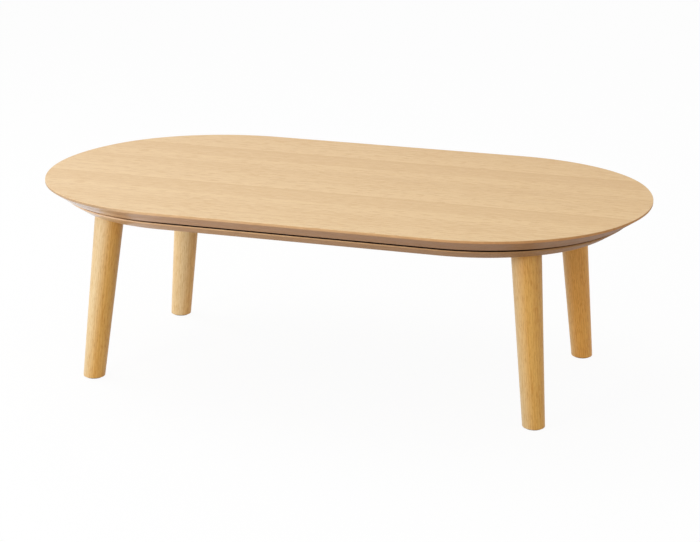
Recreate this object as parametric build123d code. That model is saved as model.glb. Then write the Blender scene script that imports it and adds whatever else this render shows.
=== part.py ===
from build123d import *
import math
import os

# Oval kotatsu: a lift-off tabletop on a ring frame with four splayed legs and a quartz heater below.
# Millimetres. X runs along the table, Y across it and Z up; the origin is on the floor, mid-table.

# ---- Whole table ----
table_length = 1200.0
table_width = 725.0
table_height = 378.0
end_flattening = 57.5  # the arc of an end has half the width plus this as its radius
corner_tightening = 43.5  # the arc of a corner has half the width less this as its radius

# ---- Tabletop ----
top_thickness = 25.0
edge_height = 4.3  # upright edge above the bevel
bevel_width = 31.0
veneer_thickness = 0.6
veneer_easing = 0.3
leaf_width = 311.0
leaf_seam_offset = -94.0  # the seam nearest the middle line
leaf_skew = -0.75  # degrees that the leaves run out of line with X
lipping_thickness = 1.5
top_board_thickness = 15.0
bevel_ring_width = 150.0
backing_thickness = 0.8
backing_clearance = 0.5

# ---- Rubber pads between frame and tabletop ----
pad_thickness = 4.4
pad_diameter = 22.0
pad_setback = 110.0
side_pad_spacing = 400.0
end_pad_spacing = 120.0

# ---- Ring frame ----
ring_setback = 39.5
ring_opening_margin = 20.5  # from the stretchers out to the long sides of the ring's opening
ring_thickness = 17.7
ring_lip = 2.8  # upright part of its outer edge
ring_draft = 23.4  # how far the edge slopes in below the lip
ring_seam_gap = 80.3  # from a leg's bolt in to the seam, along X
ring_dowel_diameter = 8.0
ring_dowel_length = 30.0
ring_dowel_inset = 28.0
ring_dowel_spacing = 44.0

# ---- Rails under the ring ----
rail_height = 20.0
apron_width = 20.0
apron_lap = 1.5  # how far the apron's inner face lies outside the ring's opening
apron_leg_gap = 41.95
cross_rail_width = 30.0
stretcher_width = 20.0
rail_dowel_diameter = 8.0
rail_dowel_length = 24.0
rail_dowel_spacing = 14.0
heater_clearance = 4.0  # between the casing and the rails round it
apron_screw_count = 5
apron_screw_end_gap = 50.0
apron_screw_diameter = 4.0
apron_screw_head = 8.0
apron_screw_length = 34.0

# ---- Legs ----
foot_end_setback = 158.7  # from the table's end to the middle of the foot
foot_side_setback = 134.9  # from the table's side to the middle of the foot
leg_splay_x = 30.9  # how much further in the leg's top is than its foot
leg_splay_y = 20.4
foot_diameter = 42.2
leg_top_diameter = 56.7
foot_rounding = 2.5
glide_thickness = 2.0
glide_diameter = 32.0
leg_bolt_diameter = 8.0
leg_bolt_length = 34.0
leg_bolt_head_diameter = 13.0
leg_bolt_head_height = 3.8
leg_bolt_socket = 5.0
washer_diameter = 19.0
washer_thickness = 1.5
bolt_recess = 5.6
bolt_recess_margin = 1.0
insert_diameter = 12.0
insert_length = 22.0
insert_sink = 1.0
insert_groove_depth = 0.6
insert_groove_pitch = 3.0
leg_pin_diameter = 8.0
leg_pin_length = 20.0
leg_pin_offset = 17.0
leg_pin_seat = 9.0  # how far the pin goes up into the ring

# ---- Heater casing ----
heater_length = 292.0
heater_width = 292.0
heater_depth = 48.0
heater_head_gap = 4.5  # from the ring's top face down to the cover
sheet = 1.0
bezel_overlap = 14.0
bezel_fit = 0.3
bezel_rim = 1.0
reflector_length = 224.0
reflector_width = 240.0
reflector_offset = -16.0  # middle of the reflector along X
reflector_headroom = 11.0  # from the cover's top down to the reflector
reflector_slope = 19.0
reflector_sheet = 0.6
reflector_flange = 5.0
mat_length = 138.0
mat_width = 196.0
mat_end_gap = 3.0
tube_count = 2
tube_spacing = 100.0
tube_length = 228.0
tube_diameter = 11.0
tube_wall = 1.2
tube_height = 22.0  # above the bottom of the reflector
coil_diameter = 6.0
cap_diameter = 15.0
cap_length = 14.0
cap_overlap = 8.0
terminal_diameter = 2.0
terminal_length = 4.0
bracket_sheet = 1.0
bracket_width = 136.0
bracket_height = 30.0
bracket_foot = 3.5
link_thickness = 0.8
link_height = 5.0

# ---- Guard ----
guard_rim_diameter = 3.0
guard_rim_radius = 12.0
guard_rim_margin = 4.0
guard_wire_diameter = 2.0
guard_wire_pitch = 11.0
guard_bar_diameter = 2.2
guard_bar_pitch = 56.0
guard_bar_count = 3
clip_length = 12.0
clip_reach = 9.0
clip_sheet = 1.0
clip_spacing = 120.0
guard_screw_diameter = 3.0
guard_screw_head = 6.0
guard_screw_head_height = 2.0
guard_screw_length = 5.0

# ---- Mounting ears ----
ear_sheet = 1.2
ear_width = 24.0
ear_reach = 24.0
ear_drop = 12.0
ear_spacing = 200.0
ear_screw_diameter = 4.0
ear_screw_head = 9.0
ear_screw_head_height = 2.4
ear_screw_length = 16.0

# ---- Control bay beside the reflector ----
bay_middle = 121.0  # X of the parts in the bay
switch_length = 52.0
switch_width = 18.0
switch_height = 15.0
switch_wall = 2.5
switch_y = 62.0
slide_travel = 24.0
carriage_length = 12.0
carriage_height = 6.0
stem_width = 4.0
stem_length = 5.0
slot_gap = 0.5
run_gap = 0.3
knob_length = 13.0
knob_width = 10.0
knob_height = 5.6
knob_rounding = 1.5
inlet_width = 34.0
inlet_depth = 26.0
inlet_height = 16.0
inlet_wall = 2.5
inlet_recess = 19.0
inlet_y = -60.0
inlet_flange = 1.5
inlet_pin_diameter = 4.0
inlet_pin_length = 11.0
inlet_pin_spacing = 14.0
inlet_tail_length = 5.0
block_length = 32.0
block_width = 16.0
block_height = 12.0
block_screw_diameter = 4.0
block_screw_height = 1.5
thermostat_diameter = 16.0
thermostat_height = 7.0
thermostat_tab = 1.0
fuse_gap = 22.5  # from the thermostat's tab to the fuse, along the lead between them
fuse_diameter = 4.0
fuse_length = 15.0
wire_diameter = 1.8
wire_bend = 4.0
lead_way_near = 108.0  # X of the two leads that run along the bay's floor
lead_way_far = 104.0

# ---- Small values that several pieces share ----
pin_clearance = 0.05  # round a dowel, pin, bolt or tube in its hole
through = 1.0  # how far a cutting tool runs past a face

# ---- Places that follow from the sizes ----
half_length = table_length / 2
half_width = table_width / 2
end_radius = half_width + end_flattening
corner_radius = half_width - corner_tightening
radius_step = end_radius - corner_radius
turn_angle = math.degrees(math.asin(corner_tightening / radius_step))
end_centre_x = half_length - end_radius
corner_centre_x = end_centre_x + math.sqrt(radius_step**2 - corner_tightening**2)

veneer_bottom = table_height - veneer_thickness
bevel_top = table_height - edge_height
top_bottom = table_height - top_thickness
board_bottom = veneer_bottom - top_board_thickness
ring_top = top_bottom - pad_thickness
ring_bottom = ring_top - ring_thickness
heater_bay_length = heater_length + 2 * heater_clearance
heater_bay_width = heater_width + 2 * heater_clearance
opening_half_width = heater_bay_width / 2 + stretcher_width + ring_opening_margin
ring_inner = half_width - opening_half_width
rail_bottom = ring_bottom - rail_height
apron_inner_y = opening_half_width + apron_lap
apron_middle_y = apron_inner_y + apron_width / 2
cross_rail_x = heater_bay_length / 2 + cross_rail_width / 2
stretcher_y = heater_bay_width / 2 + stretcher_width / 2

foot_x = half_length - foot_end_setback
foot_y = half_width - foot_side_setback
leg_x = foot_x - leg_splay_x
leg_y = foot_y - leg_splay_y
ring_seam_x = leg_x - ring_seam_gap
apron_half_length = leg_x - leg_top_diameter / 2 - apron_leg_gap
apron_screw_spacing = 2 * (apron_half_length - apron_screw_end_gap) / (apron_screw_count - 1)
corners = [(-1, -1), (1, -1), (-1, 1), (1, 1)]
corner_names = ["front_left", "front_right", "back_left", "back_right"]

cover_top = ring_top - heater_head_gap
heater_bottom = cover_top - heater_depth
bezel_top = heater_bottom + sheet
cover_half_x = heater_length / 2
cover_half_y = heater_width / 2
bezel_wall_top = bezel_top + bezel_overlap
bezel_half_x = cover_half_x - sheet - bezel_fit
bezel_half_y = cover_half_y - sheet - bezel_fit
reflector_top = cover_top - reflector_headroom
tube_z = bezel_top + tube_height
tube_ys = [(i - (tube_count - 1) / 2) * tube_spacing for i in range(tube_count)]
cap_reach = tube_length / 2 - cap_overlap + cap_length
bracket_x = reflector_length / 2 + reflector_sheet + run_gap
rim_z = heater_bottom - guard_rim_diameter / 2
wire_z = rim_z - guard_rim_diameter / 2 - guard_wire_diameter / 2
bar_z = wire_z + guard_wire_diameter / 2 + guard_bar_diameter / 2
rim_half_x = reflector_length / 2 + guard_rim_margin
rim_half_y = reflector_width / 2 + guard_rim_margin
switch_start_y = switch_y - slide_travel / 2


# ---- Helpers ----
def block(x0, x1, y0, y1, z0, z1):
    """A box between two corners."""
    middle = Pos((x0 + x1) / 2, (y0 + y1) / 2, (z0 + z1) / 2)
    return middle * Box(x1 - x0, y1 - y0, z1 - z0)


def post(x, y, z0, z1, diameter):
    """An upright cylinder."""
    return Pos(x, y, (z0 + z1) / 2) * Cylinder(diameter / 2, z1 - z0)


def bar_x(x0, x1, y, z, diameter):
    """A cylinder along X."""
    return Pos((x0 + x1) / 2, y, z) * Rot(0, 90, 0) * Cylinder(diameter / 2, x1 - x0)


def bar_y(y0, y1, x, z, diameter):
    """A cylinder along Y."""
    return Pos(x, (y0 + y1) / 2, z) * Rot(90, 0, 0) * Cylinder(diameter / 2, y1 - y0)


def countersunk(x, y, top, length, diameter, head):
    """A countersunk wood screw with its head flush at the height given."""
    cone = (head - diameter) / 2
    tip = diameter / 2
    shank = post(x, y, top - length + tip, top - cone, diameter)
    point = Pos(x, y, top - length + tip / 2) * Cone(run_gap, diameter / 2, tip)
    cup = Pos(x, y, top - cone / 2) * Cone(diameter / 2, head / 2, cone)
    return shank + point + cup


def countersunk_hole(x, y, top, length, diameter, head):
    """The hole that a countersunk screw fits."""
    wide = 2 * pin_clearance
    return countersunk(x, y, top, length + pin_clearance, diameter + wide, head + wide)


def save(name, *solids):
    """Writes one node; several solids in it stay separate."""
    bodies = [solid for shape in solids for solid in shape.solids()]
    shape = bodies[0] if len(bodies) == 1 else Compound(children=bodies)
    export_step(shape, "parts/" + name + ".step")


# ---- The table's outline ----
def oval(inset, z):
    """The outline at a distance inside the table's edge: straight sides, corner arcs and end arcs."""
    end = end_radius - inset
    corner = corner_radius - inset
    side_y = half_width - inset
    cx = corner_centre_x
    cy = corner_tightening
    quarter = 90 - turn_angle
    edges = [
        CenterArc((end_centre_x, 0), end, -turn_angle, 2 * turn_angle),
        CenterArc((cx, cy), corner, turn_angle, quarter),
        Line((cx, side_y), (-cx, side_y)),
        CenterArc((-cx, cy), corner, 90, quarter),
        CenterArc((-end_centre_x, 0), end, 180 - turn_angle, 2 * turn_angle),
        CenterArc((-cx, -cy), corner, 180 + turn_angle, quarter),
        Line((-cx, -side_y), (cx, -side_y)),
        CenterArc((cx, -cy), corner, 270, quarter),
    ]
    return Pos(0, 0, z) * make_face(edges)


def slab(inset, z0, z1):
    """A flat oval board."""
    return extrude(oval(inset, z0), amount=z1 - z0)


def sloped_slab(inset_low, z0, inset_high, z1):
    """An oval board whose edge slopes evenly."""
    return loft([oval(inset_low, z0), oval(inset_high, z1)], ruled=True)


def on_end_arc(inset, y):
    """X of the point on an end arc, that far inside the edge, at a given Y."""
    return end_centre_x + math.sqrt((end_radius - inset) ** 2 - y**2)


# ---- Tabletop ----
def top_blank():
    """Everything of the tabletop below its veneer, before it is divided into pieces."""
    upright = slab(0, bevel_top, veneer_bottom)
    bevel = sloped_slab(bevel_width, top_bottom, 0, bevel_top)
    return upright + bevel


def make_top():
    blank = top_blank()
    core_prism = slab(lipping_thickness, top_bottom - through, table_height)
    lipping = blank - core_prism
    core = blank & core_prism
    above = slab(-through, board_bottom, table_height)
    board = core & above
    ring = core - above
    ring -= slab(bevel_ring_width, top_bottom - through, board_bottom + through)
    backing_edge = bevel_ring_width + backing_clearance
    backing = slab(backing_edge, board_bottom - backing_thickness, board_bottom)
    save("top_board", board)
    save("top_bevel_ring", ring)
    save("top_edge_lipping", lipping)
    save("top_backing_sheet", backing)


def make_veneer():
    """Side-by-side leaves that run along the table."""
    easing_bottom = table_height - veneer_easing
    skin = slab(0, veneer_bottom, easing_bottom)
    skin += sloped_slab(0, easing_bottom, veneer_easing, table_height)
    first = math.ceil((-half_width - leaf_seam_offset) / leaf_width) - 1
    last = math.floor((half_width - leaf_seam_offset) / leaf_width) + 1
    leaves = []
    for i in range(first, last):
        y0 = leaf_seam_offset + i * leaf_width
        strip = block(-table_length, table_length, y0, y0 + leaf_width, veneer_bottom - through,
                      table_height + through)
        piece = skin & (Rot(0, 0, leaf_skew) * strip)
        leaves += piece.solids()
    save("top_face_veneer", *leaves)


def pad_places():
    """Places of the pads: on the long sides and on the ends."""
    side_y = half_width - pad_setback
    end_y = end_pad_spacing / 2
    end_x = on_end_arc(pad_setback, end_y)
    places = [(sx * side_pad_spacing / 2, sy * side_y) for sx, sy in corners]
    return places + [(sx * end_x, sy * end_y) for sx, sy in corners]


def make_pads():
    save("top_rest_pads", *[post(x, y, ring_top, top_bottom, pad_diameter) for x, y in pad_places()])


# ---- Ring frame ----
def ring_blank():
    lip_bottom = ring_top - ring_lip
    lip = slab(ring_setback, lip_bottom, ring_top)
    slope = sloped_slab(ring_setback + ring_draft, ring_bottom, ring_setback, lip_bottom)
    opening = slab(ring_inner, ring_bottom - through, ring_top + through)
    return lip + slope - opening


def ring_dowel_places():
    """Ends of the dowels that cross the ring's four seams."""
    outer = corner_radius - ring_setback
    reach = ring_seam_x - corner_centre_x
    edge_y = corner_tightening + math.sqrt(outer**2 - reach**2)
    first = edge_y - ring_dowel_inset
    return [(sx, sy * (first - i * ring_dowel_spacing)) for sx, sy in corners for i in range(2)]


def ring_dowel(side, y, diameter, length):
    middle = side * ring_seam_x
    z = (ring_top + ring_bottom) / 2
    return bar_x(middle - length / 2, middle + length / 2, y, z, diameter)


def apron_screw_places():
    middle = (apron_screw_count - 1) / 2
    xs = [(i - middle) * apron_screw_spacing for i in range(apron_screw_count)]
    return [(x, side * apron_middle_y) for side in (-1, 1) for x in xs]


def leg_pin_place(sx, sy):
    """The pin stands on the line from the bolt towards the middle of the table."""
    distance = math.hypot(leg_x, leg_y)
    x = leg_x - leg_pin_offset * leg_x / distance
    y = leg_y - leg_pin_offset * leg_y / distance
    return sx * x, sy * y


def ring_holes():
    holes = [ring_dowel(side, y, ring_dowel_diameter + 2 * pin_clearance,
                        ring_dowel_length + 2 * run_gap) for side, y in ring_dowel_places()]
    for x, y in apron_screw_places():
        holes.append(countersunk_hole(x, y, ring_top, apron_screw_length, apron_screw_diameter,
                                      apron_screw_head))
    for sx, sy in corners:
        x, y = sx * leg_x, sy * leg_y
        pin_x, pin_y = leg_pin_place(sx, sy)
        holes.append(post(x, y, ring_bottom - through, ring_top + through,
                          leg_bolt_diameter + 2 * pin_clearance))
        holes.append(post(x, y, ring_top - bolt_recess, ring_top + through,
                          washer_diameter + bolt_recess_margin))
        holes.append(post(pin_x, pin_y, ring_bottom - through, ring_bottom + leg_pin_seat + run_gap,
                          leg_pin_diameter + 2 * pin_clearance))
    return holes


def make_ring():
    ring = ring_blank() - ring_holes()
    far = table_length
    low = ring_bottom - through
    high = ring_top + through
    seam = ring_seam_x
    save("frame_side_front", ring & block(-seam, seam, -far, 0, low, high))
    save("frame_side_back", ring & block(-seam, seam, 0, far, low, high))
    save("frame_end_left", ring & block(-far, -seam, -far, far, low, high))
    save("frame_end_right", ring & block(seam, far, -far, far, low, high))
    save("frame_dowels", *[ring_dowel(side, y, ring_dowel_diameter, ring_dowel_length)
                           for side, y in ring_dowel_places()])


# ---- Rails ----
def rail_dowel_pairs(diameter, length):
    """Dowels of the rails' eight butt joints, two side by side in each."""
    z = (rail_bottom + ring_bottom) / 2
    dowels = []
    for sx, sy in corners:
        for step in (-1, 1):
            x = sx * cross_rail_x + step * rail_dowel_spacing / 2
            y = sy * apron_inner_y
            dowels.append(bar_y(y - length / 2, y + length / 2, x, z, diameter))
            x = sx * heater_bay_length / 2
            y = sy * stretcher_y + step * rail_dowel_spacing / 4
            up = step * rail_dowel_spacing / 4
            dowels.append(bar_x(x - length / 2, x + length / 2, y, z + up, diameter / 2))
    return dowels


def make_rails():
    holes = rail_dowel_pairs(rail_dowel_diameter + 2 * pin_clearance, rail_dowel_length + 2 * run_gap)
    for x, y in apron_screw_places():
        holes.append(countersunk_hole(x, y, ring_top, apron_screw_length, apron_screw_diameter,
                                      apron_screw_head))
    for x, y in ear_screw_places():
        hole_top = rail_bottom + ear_screw_length - ear_sheet + run_gap
        holes.append(post(x, y, rail_bottom - through, hole_top, ear_screw_diameter + 2 * pin_clearance))
    half = apron_half_length
    inner = cross_rail_x - cross_rail_width / 2
    outer = cross_rail_x + cross_rail_width / 2
    for name, side in (("front", -1), ("back", 1)):
        y0, y1 = sorted((side * apron_inner_y, side * (apron_inner_y + apron_width)))
        save("apron_" + name, block(-half, half, y0, y1, rail_bottom, ring_bottom) - holes)
        y0, y1 = side * stretcher_y - stretcher_width / 2, side * stretcher_y + stretcher_width / 2
        save("stretcher_" + name, block(-inner, inner, y0, y1, rail_bottom, ring_bottom) - holes)
    for name, side in (("left", -1), ("right", 1)):
        x0, x1 = sorted((side * inner, side * outer))
        rail = block(x0, x1, -apron_inner_y, apron_inner_y, rail_bottom, ring_bottom)
        save("cross_rail_" + name, rail - holes)
    save("rail_dowels", *rail_dowel_pairs(rail_dowel_diameter, rail_dowel_length))
    save("apron_screws", *[countersunk(x, y, ring_top, apron_screw_length, apron_screw_diameter,
                                       apron_screw_head) for x, y in apron_screw_places()])


# ---- Legs ----
def leg_solid(sx, sy):
    """A round tapered leg, splayed both ways and cut level at both ends."""
    foot = Vector(sx * foot_x, sy * foot_y, 0)
    head = Vector(sx * leg_x, sy * leg_y, ring_bottom)
    run = head - foot
    spare = leg_top_diameter / run.length
    taper = (leg_top_diameter - foot_diameter) / 2
    start = foot - run * spare
    cone = Solid.make_cone(foot_diameter / 2 - taper * spare, leg_top_diameter / 2 + taper * spare,
                           run.length * (1 + 2 * spare), Plane(origin=start, z_dir=run))
    far = table_length
    leg = cone & block(-far, far, -far, far, glide_thickness, ring_bottom)
    return fillet(leg.faces().sort_by(Axis.Z)[0].edges(), foot_rounding)


def insert_bore(sx, sy):
    depth = insert_length + insert_sink + run_gap
    return post(sx * leg_x, sy * leg_y, ring_bottom - depth, ring_bottom + through,
                insert_diameter + 2 * pin_clearance)


def leg_insert(sx, sy):
    """A threaded insert with barbed rings round it."""
    x, y = sx * leg_x, sy * leg_y
    top = ring_bottom - insert_sink
    sleeve = post(x, y, top - insert_length, top, insert_diameter)
    sleeve -= post(x, y, top - insert_length - through, top + through,
                   leg_bolt_diameter + 2 * pin_clearance)
    groove = post(x, y, 0, insert_groove_pitch / 3, insert_diameter + through)
    groove -= post(x, y, -through, insert_groove_pitch, insert_diameter - 2 * insert_groove_depth)
    count = int(insert_length / insert_groove_pitch)
    for i in range(1, count):
        sleeve -= Pos(0, 0, top - i * insert_groove_pitch) * groove
    return sleeve


def leg_bolt(sx, sy):
    """A low-head bolt with a hexagon socket."""
    x, y = sx * leg_x, sy * leg_y
    seat = ring_top - bolt_recess + washer_thickness
    head = post(x, y, seat, seat + leg_bolt_head_height, leg_bolt_head_diameter)
    shank = post(x, y, seat - leg_bolt_length, seat, leg_bolt_diameter)
    depth = leg_bolt_head_height * 2 / 3
    socket = extrude(RegularPolygon(leg_bolt_socket / 2, 6, major_radius=False), amount=depth + through)
    return head + shank - Pos(x, y, seat + leg_bolt_head_height - depth) * socket


def washer(sx, sy):
    x, y = sx * leg_x, sy * leg_y
    seat = ring_top - bolt_recess
    ring = post(x, y, seat, seat + washer_thickness, washer_diameter)
    return ring - post(x, y, seat - through, seat + washer_thickness + through,
                       leg_bolt_diameter + 2 * pin_clearance)


def leg_pin(sx, sy, diameter, spare):
    x, y = leg_pin_place(sx, sy)
    top = ring_bottom + leg_pin_seat
    return post(x, y, top - leg_pin_length - spare, top + spare, diameter)


def make_legs():
    for (sx, sy), name in zip(corners, corner_names):
        pin_hole = leg_pin(sx, sy, leg_pin_diameter + 2 * pin_clearance, run_gap)
        save("leg_" + name, leg_solid(sx, sy) - insert_bore(sx, sy) - pin_hole)
    save("leg_bolts", *[leg_bolt(sx, sy) for sx, sy in corners])
    save("leg_bolt_washers", *[washer(sx, sy) for sx, sy in corners])
    save("leg_inserts", *[leg_insert(sx, sy) for sx, sy in corners])
    save("leg_pins", *[leg_pin(sx, sy, leg_pin_diameter, 0) for sx, sy in corners])
    lean = glide_thickness / ring_bottom
    places = [(sx * (foot_x - leg_splay_x * lean), sy * (foot_y - leg_splay_y * lean))
              for sx, sy in corners]
    save("foot_glides", *[post(x, y, 0, glide_thickness, glide_diameter) for x, y in places])


# ---- Heater casing ----
def centred(half_x, half_y, z0, z1, x=0.0):
    return block(x - half_x, x + half_x, -half_y, half_y, z0, z1)


def aperture(grow, z0, z1):
    """The heater's window, widened all round by an amount."""
    return centred(reflector_length / 2 + grow, reflector_width / 2 + grow, z0, z1, reflector_offset)


def inlet_body_block(grow, depth_in):
    """The space of the inlet housing, from inside the casing out through its wall."""
    x1 = cover_half_x + inlet_flange
    half = inlet_width / 2 + grow
    return block(x1 - depth_in, x1 + through, inlet_y - half, inlet_y + half, bezel_top - grow,
                 bezel_top + inlet_height + grow)


def ear_screw_places():
    x = cover_half_x + ear_reach * 2 / 3
    return [(sx * x, sy * ear_spacing / 2) for sx, sy in corners]


def bezel_screw_places():
    """Y of the side screws on the left and right walls."""
    return [(sx, y) for sx in (-1, 1) for y in (-cover_half_y + ear_width, 0, cover_half_y - ear_width)]


def bezel_screw_z():
    return bezel_top + bezel_overlap / 2


def make_cover():
    shell = centred(cover_half_x, cover_half_y, bezel_top, cover_top)
    shell -= centred(cover_half_x - sheet, cover_half_y - sheet, bezel_top - through, cover_top - sheet)
    shell -= inlet_body_block(bezel_fit, inlet_depth)
    for side, y in bezel_screw_places():
        x = side * cover_half_x
        shell -= bar_x(x - 2 * sheet, x + 2 * sheet, y, bezel_screw_z(),
                       guard_screw_diameter + 2 * pin_clearance)
    save("heater_cover", shell)


def clip_places():
    """Places of the guard's clips, with the side they are on."""
    y = rim_half_y
    return [(reflector_offset + step * clip_spacing / 2, sy * y, sy) for sy in (-1, 1) for step in (-1, 1)]


def clip_screw_y(y, side):
    return y + side * (guard_rim_diameter / 2 + clip_reach / 2)


def make_bezel():
    plate = centred(cover_half_x + bezel_rim, cover_half_y + bezel_rim, heater_bottom, bezel_top)
    walls = centred(bezel_half_x, bezel_half_y, bezel_top, bezel_wall_top)
    walls -= centred(bezel_half_x - sheet, bezel_half_y - sheet, bezel_top - through,
                     bezel_wall_top + through)
    shell = plate + walls
    shell -= aperture(0, heater_bottom - through, bezel_top + through)
    shell -= inlet_body_block(bezel_fit, inlet_depth) & block(
        0, table_length, -table_width, table_width, bezel_top, bezel_wall_top + through)
    slot_half_x = stem_width / 2 + slot_gap
    low_y = switch_start_y - stem_length / 2 - slot_gap
    high_y = switch_start_y + slide_travel + stem_length / 2 + slot_gap
    shell -= block(bay_middle - slot_half_x, bay_middle + slot_half_x, low_y, high_y,
                   heater_bottom - through, bezel_top + through)
    for x, y, side in clip_places():
        shell -= post(x, clip_screw_y(y, side), heater_bottom - through, bezel_top + through,
                      guard_screw_diameter + 2 * pin_clearance)
    for side, y in bezel_screw_places():
        x = side * bezel_half_x
        shell -= bar_x(x - 2 * sheet, x + 2 * sheet, y, bezel_screw_z(),
                       guard_screw_diameter + 2 * pin_clearance)
    save("heater_bezel", shell)


def side_screw(side, y):
    """A pan-head screw through the cover's wall into the bezel's wall."""
    x = side * cover_half_x
    length = sheet + bezel_fit + sheet + run_gap
    x0, x1 = sorted((x, x - side * length))
    shank = bar_x(x0, x1, y, bezel_screw_z(), guard_screw_diameter)
    x0, x1 = sorted((x, x + side * guard_screw_head_height))
    return shank + bar_x(x0, x1, y, bezel_screw_z(), guard_screw_head)


def make_bezel_screws():
    save("bezel_screws", *[side_screw(side, y) for side, y in bezel_screw_places()])


def ear(sx, sy):
    """An L-shaped ear: one leg on the cover's wall, the other under the cross rail."""
    x0 = cover_half_x
    x1 = cover_half_x + ear_reach
    y = sy * ear_spacing / 2
    y0, y1 = y - ear_width / 2, y + ear_width / 2
    top = rail_bottom
    arm = block(*sorted((sx * x0, sx * x1)), y0, y1, top - ear_sheet, top)
    stem = block(*sorted((sx * x0, sx * (x0 + ear_sheet))), y0, y1, top - ear_drop, top)
    screw_x = sx * (cover_half_x + ear_reach * 2 / 3)
    hole = post(screw_x, y, top - 2 * ear_sheet, top + through, ear_screw_diameter + 2 * pin_clearance)
    return arm + stem - hole


def ear_screw(x, y):
    seat = rail_bottom - ear_sheet
    head = post(x, y, seat - ear_screw_head_height, seat, ear_screw_head)
    head = fillet(head.faces().sort_by(Axis.Z)[0].edges(), ear_screw_head_height / 2)
    tip = ear_screw_diameter / 2
    shank_top = seat + ear_screw_length - tip
    shank = post(x, y, seat, shank_top, ear_screw_diameter)
    return head + shank + Pos(x, y, shank_top + tip / 2) * Cone(ear_screw_diameter / 2, run_gap, tip)


def make_ears():
    save("heater_ears", *[ear(sx, sy) for sx, sy in corners])
    save("heater_screws", *[ear_screw(x, y) for x, y in ear_screw_places()])


# ---- Reflector and heating tubes ----
def frustum(grow, z0, z1, drop):
    """The reflector's tapered hollow, with its walls pushed out by an amount."""
    low = Pos(reflector_offset, 0, z0) * Rectangle(reflector_length + 2 * grow, reflector_width + 2 * grow)
    inward = 2 * (reflector_slope - grow)
    high = Pos(reflector_offset, 0, z1 - drop) * Rectangle(reflector_length - inward,
                                                           reflector_width - inward)
    return loft([low, high], ruled=True)


def make_reflector():
    shell = frustum(reflector_sheet, bezel_top, reflector_top, 0)
    flange = aperture(reflector_flange, bezel_top, bezel_top + reflector_sheet)
    shell += flange
    shell -= frustum(0, bezel_top, reflector_top, reflector_sheet)
    for y in tube_ys:
        half = reflector_length / 2 + reflector_flange
        shell -= bar_x(reflector_offset - half, reflector_offset + half, y, tube_z,
                       tube_diameter + 4 * run_gap)
    save("heater_reflector", shell)


def make_mat():
    """The insulating mat on the left part of the reflector's back."""
    x0 = mat_start_x
    top = cover_top - sheet - run_gap
    save("heater_insulation", block(x0, x0 + mat_length, -mat_width / 2, mat_width / 2, reflector_top, top))


def tube(y):
    half = tube_length / 2
    x = reflector_offset
    outer = bar_x(x - half, x + half, y, tube_z, tube_diameter)
    return outer - bar_x(x - half - through, x + half + through, y, tube_z, tube_diameter - 2 * tube_wall)


def coil(y):
    """The wound element's outer shape, with its two straight ends."""
    half = tube_length / 2
    reach = cap_reach + terminal_length
    x = reflector_offset
    return bar_x(x - half, x + half, y, tube_z, coil_diameter) + bar_x(x - reach, x + reach, y, tube_z,
                                                                       terminal_diameter)


def cap(side, y):
    """A ceramic end cap: a pocket for the tube and a fine hole for the element's end."""
    x0 = reflector_offset + side * (tube_length / 2 - cap_overlap)
    x1 = reflector_offset + side * cap_reach
    pocket = reflector_offset + side * (tube_length / 2 + run_gap)
    body = bar_x(*sorted((x0, x1)), y, tube_z, cap_diameter)
    body -= bar_x(*sorted((x0 - side * through, pocket)), y, tube_z, tube_diameter + 2 * pin_clearance)
    return body - bar_x(*sorted((x0, x1 + side * through)), y, tube_z, terminal_diameter + 2 * pin_clearance)


def bracket(side):
    """An upright plate with a foot on the reflector's flange, holding the caps of one end."""
    x0 = reflector_offset + side * bracket_x
    x1 = x0 + side * bracket_sheet
    foot_end = x0 + side * bracket_foot
    base = bezel_top + reflector_sheet
    half = bracket_width / 2
    plate = block(*sorted((x0, x1)), -half, half, base, base + bracket_height)
    plate += block(*sorted((x0, foot_end)), -half, half, base, base + bracket_sheet)
    for y in tube_ys:
        plate -= bar_x(*sorted((x0 - side * through, x1 + side * through)), y, tube_z,
                       cap_diameter + 2 * pin_clearance)
    return plate


def make_tubes():
    ends = [(side, y) for side in (-1, 1) for y in tube_ys]
    save("quartz_tubes", *[tube(y) for y in tube_ys])
    save("heating_coils", *[coil(y) for y in tube_ys])
    save("tube_end_caps", *[cap(side, y) for side, y in ends])
    save("tube_bracket_left", bracket(-1))
    save("tube_bracket_right", bracket(1))
    x0 = reflector_offset - cap_reach - terminal_length
    half = tube_ys[-1] + link_height
    z0, z1 = tube_z - link_height / 2, tube_z + link_height / 2
    link = block(x0 - link_thickness, x0, -half, half, z0, z1)
    save("tube_link_strip", link)


# ---- Guard ----
def make_guard():
    """A welded wire guard: a bent rim, close wires along X and a few cross bars over them."""
    radius = guard_rim_radius
    loop = RectangleRounded(2 * rim_half_x, 2 * rim_half_y, radius)
    line = (Pos(reflector_offset, 0, rim_z) * loop).wire()
    start = line @ 0
    section = Plane(origin=start, z_dir=line % 0) * Circle(guard_rim_diameter / 2)
    save("guard_rim", sweep(section, path=line))
    reach = rim_half_x + guard_rim_diameter / 2
    count = 2 * int((rim_half_y - radius) / guard_wire_pitch) + 1
    wires = []
    for i in range(count):
        y = (i - (count - 1) / 2) * guard_wire_pitch
        wires.append(bar_x(reflector_offset - reach, reflector_offset + reach, y, wire_z,
                           guard_wire_diameter))
    save("guard_wires", *wires)
    bars = []
    for i in range(guard_bar_count):
        x = reflector_offset + (i - (guard_bar_count - 1) / 2) * guard_bar_pitch
        inner = rim_half_y - guard_rim_diameter / 2
        bars.append(bar_y(-inner, inner, x, bar_z, guard_bar_diameter))
    save("guard_cross_bars", *bars)


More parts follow.
